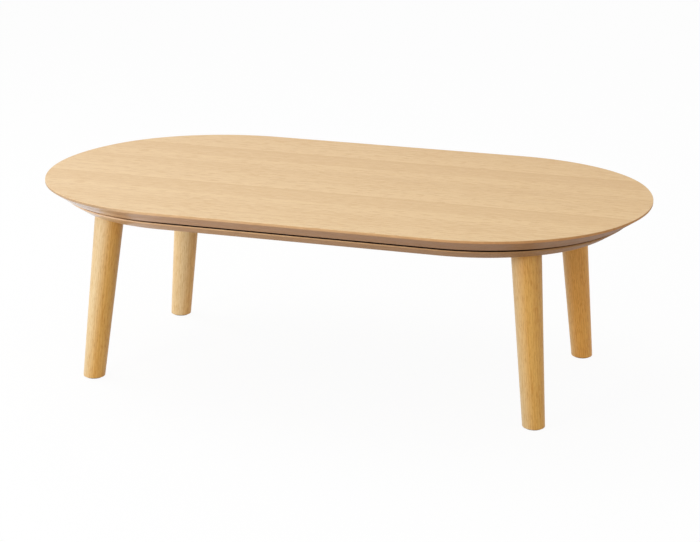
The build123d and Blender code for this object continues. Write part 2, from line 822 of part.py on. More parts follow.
def clip(x, y, side):
    """A clip that holds the rim up against the bezel."""
    half = clip_length / 2
    outer = y + side * (guard_rim_diameter / 2 + clip_reach)
    near = y + side * guard_rim_diameter / 2
    far_in = y - side * guard_rim_diameter / 2
    low = rim_z - guard_rim_diameter / 2 - clip_sheet
    shape = block(x - half, x + half, *sorted((far_in, outer)), low, low + clip_sheet)
    shape += block(x - half, x + half, *sorted((near + side * run_gap, outer)), low, heater_bottom)
    return shape - post(x, clip_screw_y(y, side), low - through, heater_bottom + through,
                        guard_screw_diameter + 2 * pin_clearance)


def clip_screw(x, y, side):
    low = rim_z - guard_rim_diameter / 2 - clip_sheet
    screw_y = clip_screw_y(y, side)
    head = post(x, screw_y, low - guard_screw_head_height, low, guard_screw_head)
    head = fillet(head.faces().sort_by(Axis.Z)[0].edges(), guard_screw_head_height / 2)
    return head + post(x, screw_y, low, low + guard_screw_length + clip_sheet, guard_screw_diameter)


def make_clips():
    save("guard_clips", *[clip(*place) for place in clip_places()])
    save("guard_screws", *[clip_screw(*place) for place in clip_places()])


# ---- Temperature slide ----
def make_switch():
    """The slide's housing stands on the bezel; its carriage, stem and knob slide along Y."""
    z0 = bezel_top
    half_x = switch_width / 2
    y0, y1 = switch_y - switch_length / 2, switch_y + switch_length / 2
    housing = block(bay_middle - half_x, bay_middle + half_x, y0, y1, z0, z0 + switch_height)
    room_x = half_x - switch_wall
    room_low = switch_start_y - carriage_length / 2 - run_gap
    room_high = switch_start_y + slide_travel + carriage_length / 2 + run_gap
    room_top = z0 + run_gap + carriage_height + run_gap
    housing -= block(bay_middle - room_x, bay_middle + room_x, room_low, room_high, z0 - through, room_top)
    save("temperature_switch", housing)
    carriage_x = room_x - run_gap
    y = switch_start_y
    carriage = block(bay_middle - carriage_x, bay_middle + carriage_x, y - carriage_length / 2,
                     y + carriage_length / 2, z0 + run_gap, z0 + run_gap + carriage_height)
    knob_top = heater_bottom - run_gap
    stem = block(bay_middle - stem_width / 2, bay_middle + stem_width / 2, y - stem_length / 2,
                 y + stem_length / 2, knob_top, z0 + run_gap)
    save("slide_carriage", carriage + stem)
    knob = block(bay_middle - knob_width / 2, bay_middle + knob_width / 2, y - knob_length / 2,
                 y + knob_length / 2, knob_top - knob_height, knob_top)
    low_edges = knob.faces().sort_by(Axis.Z)[0].edges()
    save("temperature_knob", fillet(low_edges, knob_rounding))


# ---- Inlet ----
def make_inlet():
    """A recessed two-pin inlet in the casing's right wall."""
    x1 = cover_half_x + inlet_flange
    x0 = x1 - inlet_depth
    z0, z1 = bezel_top, bezel_top + inlet_height
    half = inlet_width / 2
    housing = block(x0, x1, inlet_y - half, inlet_y + half, z0, z1)
    hollow = half - inlet_wall
    floor_x = x1 - inlet_recess
    housing -= block(floor_x, x1 + through, inlet_y - hollow, inlet_y + hollow, z0 + inlet_wall,
                     z1 - inlet_wall)
    pins = []
    middle_z = (z0 + z1) / 2
    for step in (-1, 1):
        y = inlet_y + step * inlet_pin_spacing / 2
        pin = bar_x(x0 - inlet_tail_length, floor_x + inlet_pin_length, y, middle_z, inlet_pin_diameter)
        pins.append(fillet(pin.faces().sort_by(Axis.X)[-1].edges(), inlet_pin_diameter / 4))
        housing -= bar_x(x0 - through, floor_x + through, y, middle_z,
                         inlet_pin_diameter + 2 * pin_clearance)
    save("inlet_housing", housing)
    save("inlet_pins", *pins)


# ---- Terminal block, thermostat, fuse and leads ----
block_top = bezel_top + block_height
block_ys = [(i - 1) * block_length / 3 for i in range(3)]
mat_start_x = reflector_offset - reflector_length / 2 + reflector_slope
thermostat_x = mat_start_x + mat_length + mat_end_gap + thermostat_diameter / 2
tab_reach = thermostat_diameter * 3 / 4
fuse_z = reflector_top + fuse_diameter / 2
fuse_start_y = tab_reach + fuse_gap
fuse_end_y = fuse_start_y + fuse_length
right_terminal_x = reflector_offset + cap_reach + terminal_length
pin_tail_x = cover_half_x + inlet_flange - inlet_depth - inlet_tail_length
floor_lead_z = bezel_top + inlet_height / 2


def make_block():
    half = block_width / 2
    body = block(bay_middle - half, bay_middle + half, -block_length / 2, block_length / 2, bezel_top,
                 block_top)
    heads = [post(bay_middle, y, block_top, block_top + block_screw_height, block_screw_diameter)
             for y in block_ys]
    save("terminal_block", body)
    save("terminal_screws", *heads)


def make_thermostat():
    """A disc thermostat with two tabs, and the thermal fuse in line with them, on the reflector."""
    disc = post(thermostat_x, 0, reflector_top, reflector_top + thermostat_height, thermostat_diameter)
    tab_half = thermostat_diameter / 6
    z0 = fuse_z - thermostat_tab / 2
    disc += block(thermostat_x - tab_half, thermostat_x + tab_half, -tab_reach, tab_reach, z0,
                  z0 + thermostat_tab)
    save("thermostat", disc)
    save("thermal_fuse", bar_y(fuse_start_y, fuse_end_y, thermostat_x, fuse_z, fuse_diameter))


def lead(*points):
    """One insulated lead along straight runs with round bends."""
    line = FilletPolyline(*points, radius=wire_bend)
    section = Plane(origin=line @ 0, z_dir=line % 0) * Circle(wire_diameter / 2)
    return sweep(section, path=line)


def make_leads():
    screw_top = block_top + block_screw_height
    loop = 2 * wire_bend
    block_side = bay_middle - block_width / 2
    switch_side = bay_middle - switch_width / 2
    cap_y = tube_ys[-1]
    near_pin_y = inlet_y + inlet_pin_spacing / 2
    far_pin_y = inlet_y - inlet_pin_spacing / 2
    tx, tz, fz = thermostat_x, tube_z, floor_lead_z
    block_to_thermostat = lead((bay_middle, block_ys[1], screw_top), (bay_middle, block_ys[1], fuse_z),
                               (tx, -tab_reach - 2 * loop, fuse_z), (tx, -tab_reach, fuse_z))
    thermostat_to_fuse = bar_y(tab_reach, fuse_start_y, tx, fuse_z, wire_diameter)
    fuse_to_tube = lead((tx, fuse_end_y, fuse_z), (tx, fuse_end_y + 1.5 * loop, fuse_z),
                        (right_terminal_x + loop, fuse_end_y + 1.5 * loop, fuse_z),
                        (right_terminal_x + loop, cap_y, tz), (right_terminal_x, cap_y, tz))
    tube_to_block = lead((right_terminal_x, -cap_y, tz), (right_terminal_x + loop, -cap_y, tz),
                         (bay_middle, block_ys[0], tz + wire_bend), (bay_middle, block_ys[0], screw_top))
    inlet_to_block = lead((pin_tail_x, near_pin_y, fz), (lead_way_near, near_pin_y, fz),
                          (lead_way_near, -loop, fz), (block_side, -loop, fz))
    inlet_to_switch = lead((pin_tail_x, far_pin_y, fz), (lead_way_far, far_pin_y, fz),
                           (lead_way_far, switch_y - loop, fz), (switch_side, switch_y - loop, fz))
    switch_to_block = bar_y(block_length / 2, switch_y - switch_length / 2, bay_middle, fz, wire_diameter)
    save("lead_wires", block_to_thermostat, thermostat_to_fuse, fuse_to_tube, tube_to_block,
         inlet_to_block, inlet_to_switch, switch_to_block)


def main():
    os.makedirs("parts", exist_ok=True)
    make_top()
    make_veneer()
    make_pads()
    make_ring()
    make_rails()
    make_legs()
    make_cover()
    make_bezel()
    make_bezel_screws()
    make_ears()
    make_reflector()
    make_mat()
    make_tubes()
    make_guard()
    make_clips()
    make_switch()
    make_inlet()
    make_block()
    make_thermostat()
    make_leads()


main()
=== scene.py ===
import math
from contextlib import contextmanager

import bmesh
import bpy
from mathutils import Matrix, Vector


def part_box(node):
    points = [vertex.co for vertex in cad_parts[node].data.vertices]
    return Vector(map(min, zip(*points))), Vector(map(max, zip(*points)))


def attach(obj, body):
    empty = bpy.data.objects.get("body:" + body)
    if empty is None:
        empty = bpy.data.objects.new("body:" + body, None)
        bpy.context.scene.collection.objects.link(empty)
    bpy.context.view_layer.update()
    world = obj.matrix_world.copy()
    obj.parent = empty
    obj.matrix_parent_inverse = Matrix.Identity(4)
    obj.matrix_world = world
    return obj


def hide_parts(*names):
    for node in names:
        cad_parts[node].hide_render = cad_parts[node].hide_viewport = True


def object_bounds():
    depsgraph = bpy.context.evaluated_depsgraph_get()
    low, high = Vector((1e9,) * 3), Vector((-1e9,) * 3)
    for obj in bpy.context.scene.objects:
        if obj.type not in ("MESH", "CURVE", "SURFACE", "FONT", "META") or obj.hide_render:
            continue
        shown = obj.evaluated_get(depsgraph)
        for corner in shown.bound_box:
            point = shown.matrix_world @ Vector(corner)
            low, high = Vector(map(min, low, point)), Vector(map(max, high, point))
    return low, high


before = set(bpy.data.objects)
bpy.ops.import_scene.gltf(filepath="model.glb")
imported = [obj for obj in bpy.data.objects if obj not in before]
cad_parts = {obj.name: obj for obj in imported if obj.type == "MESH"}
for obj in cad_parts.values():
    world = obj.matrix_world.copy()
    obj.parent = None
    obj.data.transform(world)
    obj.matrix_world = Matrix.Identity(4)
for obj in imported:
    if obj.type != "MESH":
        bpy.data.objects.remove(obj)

# Oval kotatsu in natural oak: finishes, studio and the pieces whose surfaces are modelled closely.
# Metres, in the frame of the construction: X along the table, Y across it, Z up from the floor.

cad_low, cad_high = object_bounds()

# ---- Measures of the table ----
MM = 0.001
half_length = cad_high.x
half_width = cad_high.y
table_top = cad_high.z
END_FLATTENING = 57.5 * MM
CORNER_TIGHTENING = 43.5 * MM
EDGE_HEIGHT = 4.3 * MM  # upright edge above the bevel
BEVEL_WIDTH = 31.0 * MM
LIPPING = 1.5 * MM
LIPPING_ROUNDING = 0.5 * MM
VENEER_EASING = 0.35 * MM
BEVEL_RING_WIDTH = 150.0 * MM
BEVEL_RING_ROUNDINGS = [(1, 0.8 * MM), (2, 1.2 * MM)]  # outer and inner edge below
LEAF_WIDTH = 311.0 * MM
LEAF_SEAM = -94.0 * MM
LEAF_SKEW = math.radians(-0.75)
LEAF_STEP = 4.0 * MM  # from one leaf to the next, through the log
LEAF_LINES = 12.5 * MM  # between the lengthwise lines of a leaf
PAD_RADIUS = 11.0 * MM
PAD_ROUNDING = 0.8 * MM
PAD_SETBACK = 110.0 * MM
SIDE_PAD_SPACING = 400.0 * MM
END_PAD_SPACING = 120.0 * MM
RING_SETBACK = 39.5 * MM
RING_LIP = 2.8 * MM
RING_DRAFT = 23.4 * MM
RING_INNER = 172.0 * MM
RING_ROUNDINGS = [(0, 0.6 * MM), (1, 0.4 * MM), (2, 1.0 * MM), (3, 1.0 * MM), (4, 1.0 * MM)]
LIP_BLEND = 0.4 * MM  # height over which the lip's lighter colour, a painted highlight, ends
GAP_SHADE_DEPTHS = (0.75 * MM, 0.45 * MM)  # below the ring's top face: where the painted shade of the gap starts and is full
GAP_SHADE_INSETS = (34.0 * MM, 22.0 * MM)  # the same inside the ring's edge
RING_DOWEL_SPACING = 44.0 * MM
DOWEL_RADIUS = 4.0 * MM
RAIL_EASING = 1.0 * MM
FIT = 0.05 * MM  # round a dowel, pin or bolt in its hole

# ---- Measures of the legs and their bolts ----
LEG_FOOT = Vector((441.3 * MM, 227.6 * MM, 0))
LEG_SPLAY = Vector((30.9 * MM, 20.4 * MM, 0))
FOOT_RADIUS = 21.1 * MM
LEG_TOP_RADIUS = 28.32 * MM
FOOT_ROUNDING = 2.5 * MM
LEG_CHAMFER = 1.2 * MM
GROWTH_RING = 4.2 * MM
PITH = (0.07, 0.02)  # from a leg's axis to the middle of the tree
LEG_GRAIN_SHIFT = (1.7, 3.1)  # along the grain, so that no two legs share theirs
GLIDE_RADIUS = 16.0 * MM
GLIDE_ROUNDING = 0.5 * MM
WASHER_RADIUS = 9.5 * MM
WASHER_THICKNESS = 1.5 * MM
WASHER_ROUNDING = 0.3 * MM
WASHER_ROOM = 0.5 * MM  # round a washer in its recess
BOLT_RADIUS = 4.0 * MM
BOLT_RECESS = 5.6 * MM
BOLT_HEAD_RADIUS = 6.5 * MM
BOLT_HEAD_HEIGHT = 3.8 * MM
BOLT_HEAD_ROUNDING = 0.5 * MM
BOLT_TIP_ROUNDING = 0.8 * MM
BOLT_SOCKET = 5.0 * MM
PIN_OFFSET = 17.0 * MM
INSERT_RADIUS = 6.0 * MM

# ---- Measures of the heater ----
SHEET = 1.0 * MM
CASING_ROUNDING = 8.0 * MM
COVER_ROUNDING = 4.0 * MM
BEZEL_ROUNDING = 0.5 * MM
WINDOW_ROUNDING = 5.0 * MM
PANEL_BORDER = 22.0 * MM
PANEL_DEPTH = 0.8 * MM
WALL_INSET = 2.3 * MM  # from the bezel's rim to its wall
REFLECTOR_FLANGE = 5.0 * MM
SLIDE_TRAVEL = 24.0 * MM
SLOT_HALF = (2.5 * MM, 3.0 * MM)
SLOT_ROUNDING = 1.2 * MM
INLET_ROOM = 0.3 * MM
KNOB_ROUNDING = 1.2 * MM
GROOVE_SPACING = 2.6 * MM
GROOVE_HALF = 0.45 * MM
GROOVE_DEPTH = 0.6 * MM
TUBE_RADIUS = 5.5 * MM
COIL_RADIUS = 3.0 * MM
COIL_PITCH = 2.4 * MM
COIL_WIRE = 0.35 * MM
COIL_ROD = 1.0 * MM  # radius of the straight ends
ROD_ROUNDING = 0.3 * MM
SCREW_HEAD_RADIUS = 3.0 * MM
SCREW_HEAD_HEIGHT = 2.0 * MM
SIDE_SCREW_LENGTH = 2.6 * MM
EAR_SCREW_HEAD_RADIUS = 4.5 * MM
EAR_SCREW_HEAD_HEIGHT = 2.4 * MM
APRON_SCREW_HEAD_RADIUS = 4.0 * MM
APRON_SCREWS = 5

# ---- Modelling ----
SAME = 0.01 * MM  # nearer than this is the same place
NEAR = 0.1 * MM  # within this of a level or a place counts as at it
OVERSHOOT = 1.0 * MM  # of a cutter beyond what it cuts
LEG_STEPS = 96  # round a leg
SMALL_STEPS = 32  # round small turned pieces and holes
COIL_STEPS = 12  # in each turn of a coil
GRAIN_RELIEF = 0.05 * MM
LEG_GRAIN_RELIEF = 0.08 * MM

# ---- Where the finishes and their painted light and shade change: start and end of each change, in metres ----
GLOSS = (0.18, 0.48)  # to the left of the middle
LIPPING_SHADE_LEFT = (0.27, 0.38)  # the same
LIPPING_SHADE_RIGHT = (0.2, 0.4)  # along X, as the next three
LIP_SHADE_RIGHT = (0.2, 0.48)
GAP_SHADE_LEFT = (-0.4, -0.2)
GAP_SHADE_RIGHT = (0.4, 0.5)
HEARTWOOD_AND_SHADE = (-18.0 * MM, 12.0 * MM)  # across a leg: the heartwood and its painted shade

# ---- Places that follow ----
end_radius = half_width + END_FLATTENING
corner_radius = half_width - CORNER_TIGHTENING
radius_step = end_radius - corner_radius
turn = math.asin(CORNER_TIGHTENING / radius_step)
end_centre = Vector((half_length - end_radius, 0, 0))
corner_centre = end_centre + radius_step * Vector((math.cos(turn), math.sin(turn), 0))

veneer_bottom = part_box("top_face_veneer")[0].z
board_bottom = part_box("top_board")[0].z
top_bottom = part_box("top_bevel_ring")[0].z
ring_bottom, ring_top = (corner.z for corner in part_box("frame_side_front"))
ring_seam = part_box("frame_side_front")[1].x
bevel_top = table_top - EDGE_HEIGHT
bevel_slope = BEVEL_WIDTH / (bevel_top - top_bottom)
glide_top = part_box("foot_glides")[1].z
leg_head = LEG_FOOT - LEG_SPLAY
pin_place = leg_head - leg_head.normalized() * PIN_OFFSET  # from the bolt towards the table's middle
CORNERS = ((-1, -1), (1, -1), (-1, 1), (1, 1))
CORNER_NAMES = ("front_left", "front_right", "back_left", "back_right")

# ---- Camera ----
CAMERA_PLACE = (1.17043, -3.73964, 1.28826)
CAMERA_YAW = math.radians(17.214)
CAMERA_PITCH = math.radians(15.547)
CAMERA_ROLL = math.radians(0.8195)
CAMERA_LENS = 105.507  # millimetres, on a sensor 36 mm wide


def add_camera():
    camera = bpy.data.objects.new("camera", bpy.data.cameras.new("camera"))
    bpy.context.scene.collection.objects.link(camera)
    camera.data.lens = CAMERA_LENS
    camera.data.clip_end = 100.0
    aim = Matrix.Rotation(CAMERA_YAW, 4, "Z") @ Matrix.Rotation(math.pi / 2 - CAMERA_PITCH, 4, "X")
    camera.matrix_world = Matrix.Translation(CAMERA_PLACE) @ aim @ Matrix.Rotation(CAMERA_ROLL, 4, "Z")
    bpy.context.scene.camera = camera


# ---- Shader maths ----
def colour(red, green, blue):
    """A display colour, 0 to 255, as the linear colour that a shader takes."""
    shares = [level / 255 for level in (red, green, blue)]
    linear = [c / 12.92 if c <= 0.04045 else ((c + 0.055) / 1.055) ** 2.4 for c in shares]
    return (*linear, 1.0)


class Value:
    """A number or colour that changes over a surface; sums of values add their nodes."""

    def __init__(self, finish, socket):
        self.finish = finish
        self.socket = socket

    def __add__(self, other):
        return self.finish.maths("ADD", self, other)

    def __sub__(self, other):
        return self.finish.maths("SUBTRACT", self, other)

    def __mul__(self, other):
        return self.finish.maths("MULTIPLY", self, other)

    def __rsub__(self, other):
        return self.finish.maths("SUBTRACT", other, self)

    __radd__ = __add__
    __rmul__ = __mul__

    def ease(self, low, high):
        """0 below one level, 1 above the other, and smooth between."""
        return self.finish.node("MapRange", {"interpolation_type": "SMOOTHSTEP"},
                                {"Value": self, "From Min": low, "From Max": high})

    def ramp(self, *stops):
        """Follows a line through levels given at positions from 0 to 1."""
        return self.finish.node("ValToRGB", {"stops": stops}, {"Fac": self})


class Finish:
    """A finish: a material on the principled shader, with its nodes added through one method."""

    def __init__(self, name, **constants):
        self.material = bpy.data.materials.new(name)
        self.material.use_nodes = True
        self.tree = self.material.node_tree
        self.shader = self.tree.nodes["Principled BSDF"]
        self.set(**constants)

    def set(self, **sockets):
        """Constants and values for the shader's sockets, with _ for a space in their names."""
        for name, value in sockets.items():
            self.plug(self.shader.inputs[name.replace("_", " ")], value)

    def plug(self, socket, value):
        if isinstance(value, Value):
            self.tree.links.new(value.socket, socket)
        else:
            socket.default_value = value

    def node(self, kind, settings=None, inputs=None, output=0):
        """Any node: its type, then its settings, then what its sockets take."""
        made = self.tree.nodes.new("ShaderNode" + kind)
        for name, setting in (settings or {}).items():
            if name == "stops":
                points = made.color_ramp.elements
                for i, (position, level) in enumerate(setting):
                    point = points[i] if i < 2 else points.new(position)
                    point.position = position
                    point.color = (level, level, level, 1.0)
            else:
                setattr(made, name, setting)
        for name, value in (inputs or {}).items():
            self.plug(made.inputs[name], value)
        return Value(self, made.outputs[output])

    def maths(self, operation, *terms):
        return self.node("Math", {"operation": operation}, dict(enumerate(terms)))

    def mix(self, share, first, second):
        """A blend of two colours."""
        return self.node("Mix", {"data_type": "RGBA"}, {0: share, 6: first, 7: second}, output=2)

    def place(self):
        """The three object coordinates."""
        spot = self.node("TexCoord", output="Object")
        return [self.node("SeparateXYZ", inputs={0: spot}, output=i) for i in range(3)]

    def noise(self, place, rates, detail=2.0, roughness=0.5):
        """Noise of about 0.5, with how many times it changes per metre along each coordinate."""
        scaled = {i: coordinate * rate for i, (coordinate, rate) in enumerate(zip(place, rates))}
        spot = self.node("CombineXYZ", inputs=scaled)
        inputs = {"Vector": spot, "Scale": 1.0, "Detail": detail, "Roughness": roughness}
        return self.node("TexNoise", inputs=inputs)

    def relief(self, height, depth):
        """A fine surface relief of the given depth, in metres."""
        self.set(Normal=self.node("Bump", inputs={"Height": height, "Distance": depth}))


# ---- Woods ----
def oak_detail(finish, place):
    """Fibres, pores and figure of oak that runs along the first coordinate."""
    fibres = finish.noise(place, (9.0, 620.0, 620.0), detail=3.0, roughness=0.6)
    pores = finish.noise(place, (95.0, 2300.0, 2300.0), detail=1.0).ease(0.58, 0.72)
    streaks = finish.noise(place, (1.6, 70.0, 70.0))
    flecks = finish.noise(place, (42.0, 310.0, 310.0), detail=1.0)
    return fibres, pores, (streaks - 0.5) * 0.9 + (flecks - 0.5) * 1.2


def stain(finish, level, pores, dark, light, pore):
    """A wood between two tones, with its pores darker."""
    wood = finish.mix(level.ease(0.0, 1.0), colour(*dark), colour(*light))
    return finish.mix(pores * 0.4, wood, colour(*pore))


def tinted(finish, wood, share, tint):
    """Wood under a tint, in a share that changes from place to place."""
    return finish.node("Mix", {"data_type": "RGBA", "blend_type": "MULTIPLY"},
                       {0: share, 6: wood, 7: (*tint, 1.0)}, output=2)


def grain_relief(finish, fibres, pores, depth=GRAIN_RELIEF):
    """Raised fibres and sunken pores."""
    finish.relief(fibres * 0.4 - pores, depth)


def painted_shade_right(finish, wood, x, tint):
    """Painted shade that darkens wood towards its right end, where the tint is whole."""
    return tinted(finish, wood, x * (0.5 / half_length) + 0.5, tint)


def lacquer(finish, x, gloss):
    """A clear coat that grows towards the left end."""
    finish.set(Coat_Weight=(0.0 - x).ease(*GLOSS) * gloss, Coat_Roughness=0.2, Coat_IOR=2.0)


def plain_wood(name, order, dark, light, pore, contrast=1.0, tint=(1.0, 1.0, 1.0), ends=None,
               gloss=0.0, **constants):
    """Wood whose grain follows one axis; the order lists the axes, the grain's first.

    The tint is painted shade towards the right end, and the entries of ends, if any, are tints of painted
    shade for its left and right ends.
    """
    finish = Finish(name, **constants)
    place = finish.place()
    fibres, pores, figure = oak_detail(finish, [place[axis] for axis in order])
    level = 0.5 + (figure + (fibres - 0.5) * 0.9) * contrast
    # Painted shade towards the right end.
    wood = painted_shade_right(finish, stain(finish, level, pores, dark, light, pore), place[0], tint)
    # Painted shade at the left and right ends.
    if ends:
        wood = tinted(finish, wood, (0.0 - place[0]).ease(*LIPPING_SHADE_LEFT), ends[0])
        wood = tinted(finish, wood, place[0].ease(*LIPPING_SHADE_RIGHT), ends[1])
    finish.set(Base_Color=wood)
    if gloss:
        lacquer(finish, place[0], gloss)
    grain_relief(finish, fibres, pores)
    return finish.material


def ring_wood(name, order, **constants):
    """The ring's wood: stained, lighter on its lip as a painted highlight, and nearly black on its top face
    near the long edges as painted shade of the gap under the top.
    """
    finish = Finish(name, **constants)
    place = finish.place()
    fibres, pores, figure = oak_detail(finish, [place[axis] for axis in order])
    level = 0.5 + figure + (fibres - 0.5) * 0.9
    stained = stain(finish, level, pores, (192, 149, 107), (212, 169, 127), (150, 108, 72))
    # Painted highlight: the lip is a lighter copy of the ring's wood, as if lit, and darker towards the right
    # end as painted shade.
    lip_highlight = stain(finish, level, pores, (226, 184, 138), (240, 202, 156), (184, 140, 94))
    lip_highlight = tinted(finish, lip_highlight, place[0].ease(*LIP_SHADE_RIGHT), (0.85, 0.78, 0.68))
    # Painted shade: a near-black brown for the shadow in the gap between the ring and the top.
    dark = stain(finish, level, pores, (44, 18, 8), (56, 24, 12), (34, 12, 6))
    lip = place[2].ease(ring_top - RING_LIP - LIP_BLEND, ring_top - RING_LIP)
    # Where the painted shade lies: the top face near the outer edge, fading out towards both ends.
    face = place[2].ease(*(ring_top - depth for depth in GAP_SHADE_DEPTHS))
    reach = finish.maths("MAXIMUM", finish.maths("ABSOLUTE", place[0]) - corner_centre.x, 0.0)
    depth = finish.maths("MAXIMUM", finish.maths("ABSOLUTE", place[1]) - corner_centre.y, 0.0)
    from_centre = finish.maths("SQRT", reach * reach + depth * depth)
    gap_shade_band = from_centre.ease(*(corner_radius - RING_SETBACK - inset for inset in GAP_SHADE_INSETS))
    face = face * gap_shade_band * place[0].ease(*GAP_SHADE_LEFT) * (1.0 - place[0].ease(*GAP_SHADE_RIGHT))
    wood = finish.mix(face, finish.mix(lip, stained, lip_highlight), dark)
    # Painted shade towards the right end.
    finish.set(Base_Color=painted_shade_right(finish, wood, place[0], (0.68, 0.6, 0.52)))
    lacquer(finish, place[0], 1.0)
    grain_relief(finish, fibres, pores)
    return finish.material


def veneer_finish():
    """Sliced oak in slip-matched leaves: each leaf repeats the figure of its neighbour."""
    finish = Finish("oak_veneer", Specular_IOR_Level=0.3)
    x, y = finish.place()[:2]
    across = y * math.cos(LEAF_SKEW) - x * math.sin(LEAF_SKEW)
    along = x * math.cos(LEAF_SKEW) + y * math.sin(LEAF_SKEW)
    turns = (LEAF_SEAM - across) * (1 / LEAF_WIDTH)
    share = finish.maths("FRACT", turns)
    leaf = finish.maths("FLOOR", turns)
    within = share * LEAF_WIDTH
    spot = (along, within, leaf * LEAF_STEP)
    drift = finish.noise(spot, (2.2, 12.0, 3.0))
    tone = (share + (drift - 0.5) * 0.1).ramp(
        (0.0, 0.36), (0.06, 0.4), (0.23, 0.46), (0.29, 0.82), (0.39, 0.78),
        (0.47, 0.6), (0.57, 0.56), (0.75, 0.7), (0.96, 0.9), (1.0, 0.9))
    seam = share.ramp((0.0, 1.0), (0.01, 0.8), (0.035, 0.0), (1.0, 0.0))
    fibres, pores, figure = oak_detail(finish, spot)
    wander = finish.noise(spot, (3.0, 5.0, 2.0))
    lines = finish.maths("SINE", (within + wander * 0.05) * (2 * math.pi / LEAF_LINES)).ease(0.55, 1.0)
    zone = share.ramp((0.0, 0.0), (0.4, 0.0), (0.47, 0.8), (0.6, 1.0), (0.68, 0.25), (1.0, 0.0))
    broken = finish.noise(spot, (4.0, 30.0, 3.0), detail=1.0).ease(0.4, 0.6)
    rows = finish.noise(spot, (7.0, 90.0, 3.0)).ease(0.38, 0.6)
    dashes = finish.noise(spot, (34.0, 200.0, 3.0), detail=1.0).ease(0.5, 0.7) * rows
    level = tone + figure + (fibres - 0.5) * 1.1 - lines * zone * broken * 0.8 - dashes * 2.4 - seam * 0.4
    wood = stain(finish, level, pores, (229, 192, 141), (241, 209, 162), (202, 161, 105))
    # Painted shade towards the right end.
    wood = painted_shade_right(finish, wood, x, (1.0, 0.945, 0.8))
    # Painted light and shade: paler towards the front as a painted sheen, darker and warmer towards the back.
    finish.set(Base_Color=tinted(finish, wood, y * (0.5 / half_width) + 0.5, (0.93, 0.89, 0.82)))
    finish.set(Roughness=0.42 + (fibres - 0.5) * 0.12 + pores * 0.1)
    grain_relief(finish, fibres, pores)
    return finish.material


def leg_finish():
    """Solid oak legs: growth rings cut lengthwise, so that they run as long lines."""
    finish = Finish("leg_wood", Roughness=0.42)
    x, y, z = finish.place()
    side_x, side_y = finish.maths("SIGN", x), finish.maths("SIGN", y)
    across = finish.maths("ABSOLUTE", x) - LEG_FOOT.x + z * (LEG_SPLAY.x / ring_bottom)
    depth = finish.maths("ABSOLUTE", y) - LEG_FOOT.y + z * (LEG_SPLAY.y / ring_bottom)
    along = z + side_x * LEG_GRAIN_SHIFT[0] + side_y * LEG_GRAIN_SHIFT[1]
    spot = (along, across * side_x, depth * side_y)
    fibres, pores, figure = oak_detail(finish, spot)
    bend = finish.noise(spot, (2.5, 20.0, 20.0), detail=1.0)
    pith_across, pith_depth = spot[1] + PITH[0], spot[2] + PITH[1]
    radius = finish.maths("SQRT", pith_across * pith_across + pith_depth * pith_depth)
    rings = finish.maths("SINE", (radius + bend * 0.006) * (2 * math.pi / GROWTH_RING)).ease(0.2, 1.0)
    dashes = finish.noise(spot, (80.0, 480.0, 480.0), detail=1.0).ease(0.52, 0.68)
    level = 0.68 + figure * 0.5 + (fibres - 0.5) * 0.9 - rings * 0.2 - dashes * 0.38
    # The border of the heartwood, which is also painted shade on each leg's right side, lies a little
    # differently on each leg.
    shift = x * 0.033 - side_y * 0.003 + side_x * side_y * 0.007 + x * (z - 0.2) * 0.08 + 0.004
    # Painted light and shade, partly real wood: paler sapwood on each leg's lit left side, darker and more
    # saturated heartwood on its shaded right side.
    heart_and_shade = (spot[1] + spot[2] * 0.3 + shift).ease(*HEARTWOOD_AND_SHADE)
    sapwood_and_light = stain(finish, level, pores, (228, 190, 130), (246, 216, 164), (192, 146, 86))
    heartwood_and_shade = stain(finish, level, pores, (216, 150, 60), (240, 186, 94), (176, 112, 42))
    wood = finish.mix(heart_and_shade, sapwood_and_light, heartwood_and_shade)
    # Painted shade on the front left leg and painted light on the back right leg.
    front_left = (1.0 - side_x) * (1.0 - side_y) * 0.25
    back_right = (1.0 + side_x) * (1.0 + side_y) * 0.25
    wood = tinted(finish, wood, front_left, (0.92, 0.94, 0.98))
    finish.set(Base_Color=tinted(finish, wood, back_right, (1.12, 1.03, 0.91)))
    grain_relief(finish, fibres, pores, LEG_GRAIN_RELIEF)
    return finish.material


# ---- Metals, plastics and soft materials ----
def speckled(name, dark, light, roughness, rate, depth=0.0, stretch=(1.0, 1.0, 1.0), **constants):
    """A finish that varies softly between two tones, with a relief of the same grain."""
    finish = Finish(name, **constants)
    rates = [rate * share for share in stretch]
    place = finish.place()
    grain = finish.noise(place, rates, detail=3.0)
    cloud = finish.noise(place, (14.0, 14.0, 14.0))
    level = 0.5 + (grain - 0.5) * 1.6 + (cloud - 0.5)
    finish.set(Base_Color=finish.mix(level.ease(0.0, 1.0), colour(*dark), colour(*light)))
    finish.set(Roughness=roughness + (cloud - 0.5) * 0.2)
    if depth:
        finish.relief(grain, depth)
    return finish.material


